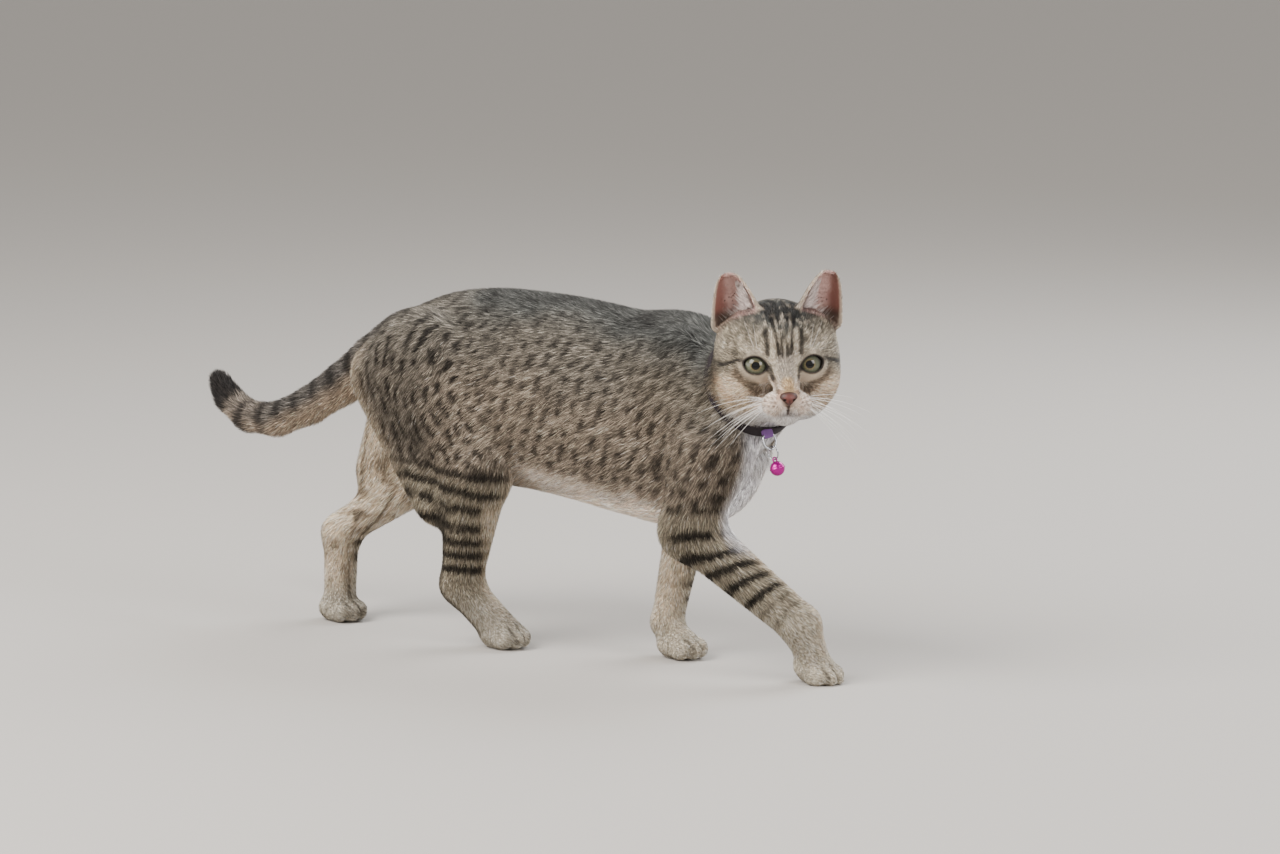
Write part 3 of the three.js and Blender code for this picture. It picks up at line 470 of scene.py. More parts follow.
def settle(field, points, reach, rounds=3):
    """Newton steps along the gradient onto the surface, never further than reach from the start."""
    p = points.copy()
    for _ in range(rounds):
        g = slope(field, p)
        p = p - g * (field(p) / np.maximum((g ** 2).sum(-1), 0.2))[:, None] * 0.9
    move = p - points
    far = np.maximum(np.linalg.norm(move, axis=-1, keepdims=True), 1e-9)
    return points + move * np.minimum(1, reach / far)


def triangles_of(points, quads):
    """Split every quad along its shorter diagonal."""
    a = np.linalg.norm(points[quads[:, 0]] - points[quads[:, 2]], axis=1)
    b = np.linalg.norm(points[quads[:, 1]] - points[quads[:, 3]], axis=1)
    turned = np.where((a <= b)[:, None], quads, np.roll(quads, -1, axis=1))
    return np.concatenate([turned[:, [0, 1, 2]], turned[:, [0, 2, 3]]])


def split_edges(points, tris, wanted):
    """Halve each edge whose both ends are wanted; triangles turn into four, three or two, with no gap."""
    edges = np.sort(np.concatenate([tris[:, [0, 1]], tris[:, [1, 2]], tris[:, [2, 0]]]), axis=1)
    cut = wanted[edges].all(1)
    pairs, back = np.unique(edges[cut], axis=0, return_inverse=True)
    middle = np.full(len(edges), -1)
    middle[cut] = len(points) + back.ravel()
    m = middle.reshape(3, -1).T
    points = np.concatenate([points, points[pairs].mean(1)])
    number = (m >= 0).sum(1)
    out = [tris[number == 0]]
    t, c = tris[number == 3], m[number == 3]
    out.append(np.stack([t[:, 0], c[:, 0], c[:, 2], c[:, 0], t[:, 1], c[:, 1],
                         c[:, 2], c[:, 1], t[:, 2], c[:, 0], c[:, 1], c[:, 2]], 1).reshape(-1, 3))
    t, c = tris[number == 1], m[number == 1]
    turn = (np.argmax(c >= 0, axis=1)[:, None] + np.arange(3)) % 3
    t, c = np.take_along_axis(t, turn, 1), np.take_along_axis(c, turn, 1)
    out.append(np.stack([t[:, 0], c[:, 0], t[:, 2], c[:, 0], t[:, 1], t[:, 2]], 1).reshape(-1, 3))
    t, c = tris[number == 2], m[number == 2]
    turn = (np.argmax(c < 0, axis=1)[:, None] + np.arange(3)) % 3
    t, c = np.take_along_axis(t, turn, 1), np.take_along_axis(c, turn, 1)
    out.append(np.stack([t[:, 0], t[:, 1], c[:, 1], t[:, 0], c[:, 1], c[:, 2],
                         c[:, 2], c[:, 1], t[:, 2]], 1).reshape(-1, 3))
    return points, np.concatenate(out)


def grid_lines(lo, fine_lo, fine_hi, hi, coarse, fine):
    """Coarse steps from lo to hi with fine ones between fine_lo and fine_hi."""
    before, close, past = (lo, fine_lo, coarse), (fine_lo, fine_hi, fine), (fine_hi, hi, coarse)
    return np.concatenate([np.arange(*steps) for steps in (before, close, past)])


def skin_field(p):
    """Signed distance to the skin: the coat's surface thinned, with the face and ears worked out."""
    return body(p, thin=1.0, details=True)


COARSE, FINE = 3.0, 1.3  # steps of the grid, away from the head and on it
NEAR_EYE, NEAR_NOSE = 14.5, 14  # within these distances every edge of the skin is halved
NOSE_FRONT = np.array((42.0, 0, -26))
skin_axes = (
    grid_lines(-414, 94, 176, 182, COARSE, FINE),
    grid_lines(-82, -82, 8, 74, COARSE, FINE),
    grid_lines(-4, 186, 291, 294, COARSE, FINE),
)
skin_grid = narrow_band(skin_field, *skin_axes)
skin_points, skin_quads = surface_nets(skin_grid, skin_axes)
skin_points = in_chunks(lambda part: settle(skin_field, part, 0.9, 2), skin_points)
skin_tris = triangles_of(skin_points, skin_quads)
face_point = in_head(skin_points)
eye_far, _, _, eye_ahead = eye_place(face_point)
nose_far = np.linalg.norm(face_point - NOSE_FRONT, axis=1)
wanted = (eye_far < NEAR_EYE) & (eye_ahead > 2) | (nose_far < NEAR_NOSE)
skin_points, skin_tris = split_edges(skin_points, skin_tris, wanted)
new = slice(len(wanted), None)
skin_points[new] = settle(skin_field, skin_points[new], 0.8, 3)


# ---------------------------------------------------------------- markings and painted shade


def srgb(*rgb):
    """Linear light from screen values 0 to 255."""
    c = np.asarray(rgb, float) / 255
    return np.where(c <= 0.04045, c / 12.92, ((c + 0.055) / 1.055) ** 2.4)


def smooth(x, lo, hi):
    """0 below lo, 1 above hi, and 3t^2 - 2t^3 between them."""
    t = np.clip((x - lo) / (hi - lo), 0, 1)
    return t * t * (3 - 2 * t)


def scatter(i, j, k, seed):
    """A fixed number from -1 to 1 for each whole-number place."""
    n = i.astype(np.int64) * 73856093 ^ j.astype(np.int64) * 19349663
    n = n ^ k.astype(np.int64) * 83492791 ^ seed * 2654435761
    n = (n ^ (n >> 13)) * 1274126177 & 0x7FFFFFFF
    n = (n ^ (n >> 16)) * 1911520717 & 0x7FFFFFFF
    return (n % 65536) / 32767.5 - 1


def noise(p, size, seed=0):
    """Smoothly joined scatter on a lattice with cells of the given size."""
    s = p / size + 1000.0
    c = np.floor(s)
    t = s - c
    t = t * t * (3 - 2 * t)
    total = 0.0
    for a in (0, 1):
        for b in (0, 1):
            for d in (0, 1):
                w = np.abs(1 - a - t[:, 0]) * np.abs(1 - b - t[:, 1]) * np.abs(1 - d - t[:, 2])
                total = total + w * scatter(c[:, 0] + a, c[:, 1] + b, c[:, 2] + d, seed)
    return total


def rows_noise(x, seed):
    """Scatter that depends on a whole row number only."""
    zero = np.zeros(len(x))
    return scatter(np.floor(x), zero, zero, seed)


def mixed(a, b, t):
    """a + (b - a) t, for a share t held between 0 and 1."""
    return a + (b - a) * np.clip(t, 0, 1)[:, None]


def bars(c, places, half, soft):
    """1 near each of the places along the coordinate c, fading over soft beyond half."""
    near = np.min(np.abs(c[:, None] - np.array(places)), axis=1)
    return 1 - smooth(near, half, half + soft)


def along_chain(p, points):
    """Length along a chain of centre points to the foot of each place on it."""
    centres = np.array([c for c, _ in points], float)
    best = np.full(len(p), np.inf)
    run = np.zeros(len(p))
    start = 0.0
    for a, b in zip(centres, centres[1:]):
        ba = b - a
        t = np.clip((p - a) @ ba / (ba @ ba), 0, 1)
        d = np.linalg.norm(p - a - t[:, None] * ba, axis=1)
        long = np.linalg.norm(ba)
        run = np.where(d < best, start + t * long, run)
        best = np.minimum(best, d)
        start += long
    return run


INK = srgb(20, 17, 17)
BACK, SIDE, FLANK = srgb(78, 79, 77), srgb(113, 107, 98), srgb(140, 128, 114)
BELLY, CHEST = srgb(240, 218, 198), srgb(248, 246, 252)
LEG, PALE_LEG = srgb(156, 146, 128), srgb(236, 214, 186)
FORE_PAW, HIND_PAW = srgb(193, 182, 163), srgb(180, 171, 155)
TAIL_TOP, TAIL_LOW = srgb(92, 88, 84), srgb(160, 142, 123)
NECK_SIDE = srgb(142, 130, 111)


def dashes(c, along, p, gap, long, seed):
    """Rows of short dark dashes: rows lie gap apart in c and are broken up lengthwise."""
    c = c + 3.6 * noise(p, 26, seed) + 1.9 * noise(p, 9, seed + 1)
    row = c / gap
    line = np.cos(2 * np.pi * row)
    phase = along / long + rows_noise(row + 0.5, seed + 2) * 3 + 0.45 * noise(p, 12, seed + 3)
    piece = np.cos(2 * np.pi * phase)
    return smooth(line + 0.35 * noise(p, 3.2, seed + 4), -0.15, 0.6) * smooth(piece, -0.75, 0.2)


def ticking(p, amount, seed):
    """Pale and dark flecks of banded hair, as a factor about 1."""
    return 1 + amount * (noise(p, 2.1, seed) * 0.6 + noise(p, 1.1, seed + 1) * 0.6)[:, None]


HAUNCH_AT = (-77.0, 200.0)  # the rows over the haunch curl round this x and z


def tabby(p):
    """Colour of the trunk, neck, shoulder and haunch: grey back, lighter flank, rows of dark dashes.

    The rows stand nearly upright on the flank and curl round the haunch towards the knee.
    """
    top, low, _ = np.moveaxis(stations(p[:, 0]), -1, 0)
    high = (p[:, 2] - low) / (top - low) + 0.05 * noise(p, 20, 3)
    base = mixed(FLANK, SIDE, smooth(high, 0.42, 0.78))
    base = mixed(base, BACK, smooth(high, 0.76, 0.97))
    base = mixed(base, SIDE, smooth(-p[:, 0], 118, 165) * 0.75)
    ring = np.hypot(p[:, 0] - HAUNCH_AT[0], p[:, 2] - HAUNCH_AT[1])
    angle = np.arctan2(HAUNCH_AT[1] - p[:, 2], HAUNCH_AT[0] - p[:, 0])
    upright = dashes(p[:, 0] - 0.3 * p[:, 2], p[:, 2], p, 11.5, 15.0, 21)
    curled = dashes(ring, angle * 62, p, 9.6, 17.0, 31)
    rear = smooth(-p[:, 0] + 0.12 * (200 - p[:, 2]), 84, 112)
    dark = upright * (1 - rear) + curled * rear
    strength = 0.72 + 0.14 * rear - 0.25 * smooth(high, 0.8, 0.95)
    spine = smooth(high, 0.93, 1.0) * (0.5 + 0.3 * noise(p, 11, 41)) * (1 - 0.8 * smooth(p[:, 0], 10, 60))
    return mixed(base, INK, np.maximum(dark * strength, spine)) * ticking(p, 0.7, 43)


def trunk_colour(p):
    """The tabby coat with a cream belly, and painted shade: a dark line in the fold behind each foreleg."""
    top, low, half = np.moveaxis(stations(p[:, 0]), -1, 0)
    h = (top - low) / 2
    round_ = np.arctan2(np.abs(p[:, 1]) / half, (p[:, 2] - (top + low) / 2) / h) / np.pi
    base = mixed(tabby(p), BELLY, smooth(round_ + 0.025 * noise(p, 16, 4), 0.68, 0.8))
    # painted shade: a dark line in the fold between each foreleg and the chest
    for start, end in (((41, -44, 150), (48, -50, 92)), ((16, 44, 150), (10, 48, 92))):
        base = mixed(base, INK, stroke(p + 1.5 * noise(p, 9, 45)[:, None], start, end, 2.2, 5.0) * 0.7)
    return base


def neck_colour(p):
    """The tabby coat, warmer on the side of the neck."""
    return mixed(tabby(p), NECK_SIDE, 0.3 * smooth(225 - p[:, 2], 0, 30))


TOE_GAPS = np.array([-7.2, 0.0, 7.2])  # where the toes meet, across the paw
FAN_MIDDLE = (181, 113)  # x and z of the place ahead of the right foreleg that its bars fan out from
RIGHT_FORE_BARS = (-4.5, 5.9, 15.3, 22.8, 31.2, 40.6)  # degrees below the level, seen from FAN_MIDDLE
RIGHT_FORE_THIN_BARS = (48.5, 56)
LEFT_FORE_BARS = (128, 112, 98, 84, 71, 58, 46)  # heights at x = 0
HIND_BARS = (-1, -14, -27, -41, -53, -64, -75)  # heights from the knee, downwards


def toe_gap_shade(p, leg):
    """Painted shade: dark lines in the gaps between the toes, seen from above and in front."""
    q = (p - np.array(leg["ball"], float)) @ axes_of(leg["yaw"], leg["pitch"]).T
    gap = np.min(np.abs(q[:, 1:2] - TOE_GAPS), axis=1)
    return (1 - smooth(gap, 0.3, 1.3)) * smooth(q[:, 0], 7, 12) * smooth(q[:, 2], -8, -5)


def fore_colour(p, leg, right):
    """Foreleg: the body's coat above, bold bars outside, paler inside, light paw with painted shade between
    the toes.
    """
    side = -1 if right else 1
    low = smooth(110 - p[:, 2], 0, 60)
    centre = leg["elbow"][1] + (leg["wrist"][1] - leg["elbow"][1]) * low
    outer = smooth((p[:, 1] - centre) * side, -12, 6)
    base = mixed(tabby(p), LEG * ticking(p, 0.25, 73), smooth(128 - p[:, 2], 0, 24))
    base = mixed(base, FORE_PAW * ticking(p, 0.1, 74), smooth(66 - p[:, 2], 0, 34))
    base = mixed(base, PALE_LEG, (1 - outer) * smooth(150 - p[:, 2], 0, 25) * smooth(p[:, 2], 14, 40))
    warp = 1.1 * noise(p, 15, 71)
    if right:
        turn = np.degrees(np.arctan2(FAN_MIDDLE[1] - p[:, 2], FAN_MIDDLE[0] - p[:, 0])) + warp
        dark = bars(turn, RIGHT_FORE_BARS, 1.25, 1.5)
        dark = np.maximum(dark, 0.4 * bars(turn, RIGHT_FORE_THIN_BARS, 0.5, 1.5))
        dark = dark * smooth(p[:, 0], 50, 60) * smooth(124 - p[:, 2], 0, 6)
    else:
        dark = bars(p[:, 2] + 1.6 * warp + 0.25 * p[:, 0], LEFT_FORE_BARS, 1.6, 3.0) * 0.85
        dark = dark * smooth(132 - p[:, 2], 0, 8) * smooth(noise(p, 7, 76), -0.3, 0.2)
    dark = dark * (0.14 + 0.86 * outer) * smooth(noise(p, 8, 75), -0.95, -0.35)
    # painted shade in the gaps between the toes
    return mixed(mixed(base, INK, dark * 0.93), INK, toe_gap_shade(p, leg) * 0.6)


def hind_colour(p, leg, right):
    """Hind leg: the body's coat above, bold bars below, dark rear edge, pale inside and paw."""
    side = -1 if right else 1
    knee, heel = np.array(leg["knee"], float), np.array(leg["heel"], float)
    t = np.clip((knee[2] - p[:, 2]) / (knee[2] - heel[2]), 0, 1)
    centre = knee + (heel - knee) * t[:, None]
    middle_x = np.interp(p[:, 2], [leg["ball"][2], heel[2], knee[2]], [leg["ball"][0], heel[0], knee[0]])
    outer = smooth((p[:, 1] - centre[:, 1]) * side, -13, 6)
    base = mixed(tabby(p), LEG * ticking(p, 0.25, 83), smooth(knee[2] + 8 - p[:, 2], 0, 24))
    base = mixed(base, HIND_PAW * ticking(p, 0.12, 84), smooth(heel[2] + 6 - p[:, 2], 0, 24))
    inner = (1 - outer) * smooth(knee[2] + 90 - p[:, 2], 0, 40) * smooth(p[:, 2], 14, 40)
    base = mixed(base, PALE_LEG, inner)
    front = smooth(p[:, 0] - middle_x, 15, 20) * smooth(knee[2] - 18 - p[:, 2], 0, 14)
    base = mixed(base, PALE_LEG, front * smooth(p[:, 2], heel[2] - 8, heel[2] + 10) * 0.8)
    rise = p[:, 2] - knee[2] + 1.8 * noise(p, 14, 81) + 0.10 * (p[:, 0] - knee[0])
    low = bars(rise, HIND_BARS, 2.0, 2.6) * smooth(knee[2] + 8 - p[:, 2], 0, 8)
    low = low * smooth(noise(p, 9, 85), -0.9, -0.3) * (0.14 + 0.86 * outer)
    spots = smooth(noise(p, 8, 87), 0.3, 0.6) * (1 - outer) * smooth(knee[2] + 20 - p[:, 2], 0, 20) * 0.5
    behind = middle_x - p[:, 0]
    rear = smooth(behind, 7, 13) * (1 - smooth(behind, 22, 32)) * smooth(knee[2] - 16 - p[:, 2], 0, 20)
    rear = rear * smooth(p[:, 2], 3, 12) * (0.35 + 0.65 * outer) * (0.75 if right else 0.2)
    dark = np.maximum(np.maximum(low * 0.9 * (1 - front), rear), spots)
    # painted shade in the gaps between the toes
    return mixed(mixed(base, INK, dark), INK, toe_gap_shade(p, leg) * 0.6)


TAIL_RING_GAP = 23.0
tail_centres = np.array([c for c, _ in TAIL], float)
tail_marks = np.concatenate([[0], np.cumsum(np.linalg.norm(np.diff(tail_centres, axis=0), axis=1))])


def tail_colour(p):
    """Grey tail with dark rings above, cream below, and a black tip."""
    run = along_chain(p, TAIL)
    total = tail_marks[-1]
    high = p[:, 2] - np.interp(run, tail_marks, tail_centres[:, 2])
    over = smooth(high + 2 * noise(p, 9, 93), -9, 4)
    late = smooth(run, total - 95, total - 40)
    base = mixed(TAIL_LOW, TAIL_TOP, over)
    base = mixed(base, TAIL_TOP * 0.85, late * 0.6) * ticking(p, 0.3, 95)
    ring = smooth(np.cos(2 * np.pi * (run + 2 * noise(p, 12, 91)) / TAIL_RING_GAP), -0.1, 0.55)
    base = mixed(base, TAIL_LOW, late * 0.22)
    dark = ring * np.maximum(over * 0.9, late)
    return mixed(base, INK, np.maximum(dark * 0.86, smooth(run, total - 30, total - 20) * 0.97))


THROAT_FOOT = np.array([84.0, -12, 170])  # inside the foot of the neck, behind the white


def white_front(p):
    """How far a place belongs to the white of the throat and chest."""
    ahead = (p - THROAT_FOOT) @ unit(np.array([0.80, -0.16, -0.58]))
    across = np.abs((p - THROAT_FOOT) @ unit(np.array([0.2, 1.0, 0])) - 11)
    edge = 20 + 4 * noise(p, 14, 61)
    return smooth(ahead, edge - 8, edge + 8) * (1 - smooth(across, 24, 38)) * smooth(p[:, 2], 84, 104)


CROWN, BROW_SIDE, BRIDGE = srgb(72, 73, 71), srgb(132, 123, 108), srgb(150, 140, 128)
PEACH, MUZZLE, CHIN = srgb(234, 206, 176), srgb(236, 212, 196), srgb(250, 242, 238)
OCHRE, CHEEK_BAR = srgb(188, 156, 116), srgb(104, 90, 76)
RUST, LIGHT = srgb(172, 126, 92), srgb(222, 206, 184)
LID_RIM, WHISKER_DOT, LIP = srgb(34, 27, 25), srgb(60, 44, 36), srgb(70, 44, 38)
DOT_ROWS = (-19.6, -22.3, -25.0)  # heights of the rows of dark dots that the whiskers grow from

# Strokes on the face in the head's own frame, the same on both sides.
# Each has its two ends, its radius, softness, colour and strength.
FACE_STROKES = [
    ((34, 0, 4), (44, 0, -8), 4.4, 5.0, BRIDGE, 0.9),
    ((20, 15, -17), (32, 12, -14), 3.5, 7.5, MUZZLE, 0.5),
    ((40, 8, -25), (32, 12, -30), 5.5, 9.0, MUZZLE, 0.9),
    ((36, 0, -38), (24, 9, -38), 7.0, 7.0, CHIN, 1.0),
    ((30.5, 8.6, 24), (32, 8.8, 5), 1.0, 2.8, LIGHT, 0.5),
    ((33, 7.6, 5), (39, 6.0, -8), 0.8, 2.0, LIGHT, 0.25),
    ((24, 14, -13), (13, 29, -12), 1.6, 3.2, LIGHT, 0.6),
    ((26, 14, 12), (18, 27, 12), 1.2, 3.8, LIGHT, 0.3),
    ((20, 5.6, 36), (33, 2.9, 11), 0.4, 1.7, LIGHT, 0.42),
    ((20, 0.0, 36), (33, 0.0, 12), 0.2, 1.4, LIGHT, 0.3),
    ((-6, 10.5, 43), (22, 7.6, 32.5), 1.5, 2.4, INK, 0.75),
    ((22, 7.6, 32.5), (33.4, 3.9, 9), 0.8, 1.3, INK, 0.85),
    ((-6, 3.4, 45), (21.7, 3.2, 33.2), 1.4, 2.2, INK, 0.75),
    ((21.7, 3.2, 33.2), (33.5, 1.6, 8), 0.6, 1.1, INK, 0.8),
    ((26.5, 12.2, 24), (30, 11.6, 9), 0.8, 1.8, INK, 0.8),
    ((22.2, 28.6, 4.6), (9, 40.8, 0.6), 0.8, 1.5, INK, 0.9),
    ((9, 40.8, 0.6), (-14, 45, 2), 1.0, 2.6, INK, 0.6),
    ((20, 31, -5), (24, 17.5, -17), 2.4, 3.2, CHEEK_BAR, 0.85),
    ((2.4, 42.4, -11.6), (10.5, 33, -27.2), 1.6, 3.2, RUST, 0.4),
    ((-6, 43, -6), (-14, 36, -26), 2.0, 4.5, CHEEK_BAR, 0.6),
    ((45, 0, -10), (48.5, 0, -14), 2.6, 3.4, OCHRE, 0.8),
    ((46, 5.8, -15), (44, 7.4, -21), 0.8, 1.9, RUST, 0.5),
]

# The dark line from the inner corner of the eye down beside the nose, laid over the rest of the face:
# two ends, radius, softness and strength of each part.
TEAR_LINES = [
    ((31, 11.4, -1), (37, 9.6, -7), 1.3, 2.2, 0.85),
    ((37, 9.6, -7), (46, 8.2, -15), 0.9, 2.4, 0.7),
]


def stroke(m, start, end, radius, soft, weight=(1, 1, 1)):
    """1 within radius of the line from start to end, fading to 0 over soft.

    A weight below 1 on an axis makes the stroke reach further along it.
    """
    a = np.array(start, float)
    ba = np.array(end, float) - a
    t = np.clip((m - a) @ ba / (ba @ ba), 0, 1)
    d = np.linalg.norm((m - a - t[:, None] * ba) * np.array(weight), axis=1)
    return 1 - smooth(d, radius, radius + soft)


def head_colour(p):
    """Dark crown, grey brow, peach cheeks and pale muzzle, with the strokes of a tabby's face."""
    q = in_head(p)
    m = np.stack([q[:, 0], np.abs(q[:, 1]), q[:, 2]], -1)
    wob = np.stack([noise(q, 7, s) for s in (101, 102, 103)], -1) * 0.55
    m = m + wob
    base = mixed(BROW_SIDE, CROWN, smooth(m[:, 2] - 0.35 * m[:, 1], 12, 30))
    base = mixed(base, PEACH, smooth(-m[:, 2] + 0.12 * m[:, 0], 4, 18))
    base = mixed(base, CHIN, smooth(-m[:, 2], 30, 40))
    nape = smooth(-m[:, 0], 6, 24)
    base = mixed(base, NECK_SIDE * 0.85, nape * 0.8)
    crown_rows = dashes(m[:, 1] * 1.2, q[:, 0], q, 8.0, 22.0, 105) * smooth(m[:, 2], 26, 36) * 0.5
    base = mixed(base, INK, crown_rows)
    fleck = noise(q * np.array([1, 1, 0.5]), 2.4, 106) * smooth(m[:, 2], -4, 12)
    base = mixed(mixed(base, INK, smooth(fleck, 0.1, 0.6) * 0.4), LIGHT, smooth(-fleck, 0.15, 0.6) * 0.3)
    base = base * ticking(q, 0.22, 107)
    for start, end, radius, soft, colour, strength in FACE_STROKES:
        base = mixed(base, colour, stroke(m, start, end, radius, soft, (0.4, 1, 1)) * strength)
    r, a, b, out = eye_place(q)
    rim = smooth(out, 2, 5) * (r < 17)
    pale = (1 - smooth(np.abs(almond(a, b) - 3.2), 1.2, 3.6)) * rim
    base = mixed(base, LIGHT, pale * (0.08 + 0.3 * smooth(-b, -1, 4)))
    lid = (1 - smooth(almond(a, b), 0.7, 1.9)) * rim
    base = mixed(base, LID_RIM, lid * 0.95)
    for start, end, radius, soft, strength in TEAR_LINES:
        base = mixed(base, INK, stroke(m, start, end, radius, soft, (0.3, 1, 1)) * strength)
    for height in DOT_ROWS:
        pad = smooth(m[:, 0], 28, 32) * smooth(m[:, 1], 7.6, 9.0) * (1 - smooth(m[:, 1], 15.5, 18))
        row = height + 0.05 * (m[:, 1] - 12)
        dots = smooth(np.cos(m[:, 1] * 2.3 + height), -0.9, 0.1)
        dot_row = (1 - smooth(np.abs(m[:, 2] - row), 0.35, 1.05)) * dots
        base = mixed(base, WHISKER_DOT, dot_row * pad * 0.62)
    lip = (1 - smooth(m[:, 1], 0.35, 1.1)) * smooth(-q[:, 2], 24.5, 26) * (1 - smooth(-q[:, 2], 31, 32.5))
    lip = lip * smooth(q[:, 0], 34, 38)
    mouth = 1 - smooth(np.abs(q[:, 2] - mouth_line(m[:, 1])), 0.4, 1.3)
    mouth = mouth * (1 - smooth(m[:, 1], 7, 12)) * smooth(q[:, 0], 22, 28)
    return mixed(base, LIP, np.maximum(lip, mouth * 0.6) * 0.8)


# Two of these colours are painted shade: the deep outer side of the ear's hollow and its foot.
EAR_BACK, EAR_SKIN, EAR_SKIN_IN_SHADE = srgb(112, 102, 92), srgb(196, 158, 150), srgb(122, 72, 62)
EAR_FOOT_IN_SHADE, EAR_RIM = srgb(62, 42, 36), srgb(214, 196, 176)


def ear_colour(p):
    """Pale pink hollow, with painted shade that makes its deep outer wall darker and redder and its foot dark
    brown; light rim and grey back.
    """
    q = in_head(p)
    u, s, v = ear_place(q)
    t = np.clip(u / EAR_LONG, 0, 1)
    half = ear_half(u)
    across = s / half * EAR_OUTWARD
    hollow = smooth(-half_oval(s, np.minimum(v, 0), half, half * EAR_DEPTH), 0.8, 1.5)
    # painted shade on the hollow's deep outer side and at its foot
    inside = mixed(EAR_SKIN, EAR_SKIN_IN_SHADE, smooth(across + 0.12 * noise(q, 5, 111), 0.18, 0.62) * (1 - 0.25 * t))
    inside = mixed(inside, EAR_FOOT_IN_SHADE, smooth(0.2 + 0.16 * across - t, 0, 0.2) * 0.9)
    outside = mixed(EAR_BACK, INK, smooth(0.35 - t, 0, 0.3) * 0.35 + 0.2 * smooth(noise(q, 6, 112), 0, 0.8))
    colour = mixed(outside, inside, hollow)
    rim = (1 - smooth(np.abs(v), 0.7, 1.9)) * smooth(np.abs(across), 0.72, 0.9)
    return mixed(colour, EAR_RIM, rim * (0.85 - 0.3 * smooth(across, 0, 0.6)))


def coat_colour(p):
    """Colour of the coat at each place: the colours of the masses nearest to it, mixed by nearness."""
    m = masses(p, 0.0)
    m["right_fore"] = np.minimum(m["right_fore"], paw(p, RIGHT_FORE))
    m["left_fore"] = np.minimum(m["left_fore"], paw(p, LEFT_FORE))
    m["right_hind"] = np.minimum(m["right_hind"], paw(p, RIGHT_HIND))
    m["left_hind"] = np.minimum(m["left_hind"], paw(p, LEFT_HIND))
    m["ear"] = ear(in_head(p)) - 0.6
    names = list(m)
    d = np.stack([m[n] for n in names], -1)
    w = np.exp(-(d - d.min(-1, keepdims=True)) / 4.5)
    w[:, names.index("ear")] *= smooth(2.2 - m["ear"], 0, 2.0)
    w /= w.sum(-1, keepdims=True)
    parts = dict(
        trunk=trunk_colour, neck=neck_colour, head=head_colour, tail=tail_colour, ear=ear_colour,
        right_fore=lambda x: fore_colour(x, RIGHT_FORE, True),
        left_fore=lambda x: fore_colour(x, LEFT_FORE, False),
        right_hind=lambda x: hind_colour(x, RIGHT_HIND, True),
        left_hind=lambda x: hind_colour(x, LEFT_HIND, False),
    )
    colour = np.zeros((len(p), 3))
    for i, name in enumerate(names):
        use = w[:, i] > 0.01
        if use.any():
            colour[use] += w[use, i, None] * parts[name](p[use])
    head_part = w[:, names.index("head")] + w[:, names.index("ear")]
    return mixed(colour, CHEST, white_front(p) * (1 - head_part) * 0.95)


# ---------------------------------------------------------------- meshes and materials


def metres(p):
    """Metres from the middle of the footprint, from millimetres in the cat's frame."""
    return (np.asarray(p, float) - ORIGIN) / 1000.0


def mesh_object(name, points, faces, material, smooth_faces=True):
    """A mesh object at the origin from points in millimetres and faces with three or four corners."""
    mesh = bpy.data.meshes.new(name)
    faces = np.asarray(faces)
    mesh.vertices.add(len(points))
    mesh.vertices.foreach_set("co", metres(points).astype(np.float32).ravel())
    mesh.loops.add(faces.size)
    mesh.loops.foreach_set("vertex_index", faces.astype(np.int32).ravel())
    mesh.polygons.add(len(faces))
    mesh.polygons.foreach_set("loop_start", np.arange(0, faces.size, faces.shape[1], dtype=np.int32))
    mesh.polygons.foreach_set("use_smooth", np.full(len(faces), smooth_faces))
    mesh.materials.append(material)
    mesh.update(calc_edges=True)
    mesh.validate()
    obj = bpy.data.objects.new(name, mesh)
    bpy.context.scene.collection.objects.link(obj)
    return obj


def paint(obj, colours, name="coat_colour"):
    """A colour for each vertex, kept as a named attribute."""
    layer = obj.data.color_attributes.new(name, "FLOAT_COLOR", "POINT")
    rgba = np.concatenate([colours, np.ones((len(colours), 1))], axis=1).astype(np.float32)
    layer.data.foreach_set("color", rgba.ravel())


def unwrap(obj, uv, name="OFBake"):
    """A UV map from one place for each vertex."""
    layer = obj.data.uv_layers.new(name=name)
    corner = np.empty(len(obj.data.loops), np.int32)
    obj.data.loops.foreach_get("vertex_index", corner)
    layer.data.foreach_set("uv", uv[corner].astype(np.float32).ravel())


def finished(obj, nodes=()):
    """The piece rides with the body and stands for the named nodes, which it hides."""
    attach(obj, "root")
    if nodes:
        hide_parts(*nodes)
    return obj


def material(name, roughness, **inputs):
    """A Principled material with its constant values set on the sockets."""
    mat = bpy.data.materials.new(name)
    mat.use_nodes = True
    shader = mat.node_tree.nodes["Principled BSDF"]
    shader.inputs["Roughness"].default_value = roughness
    for key, value in inputs.items():
        shader.inputs[key.replace("_", " ")].default_value = value
    return mat


def from_attribute(mat, attribute):
    """Take the base colour from a vertex attribute."""
    tree = mat.node_tree
    read = tree.nodes.new("ShaderNodeAttribute")
    read.attribute_name = attribute
    tree.links.new(read.outputs["Color"], tree.nodes["Principled BSDF"].inputs["Base Color"])
    return mat


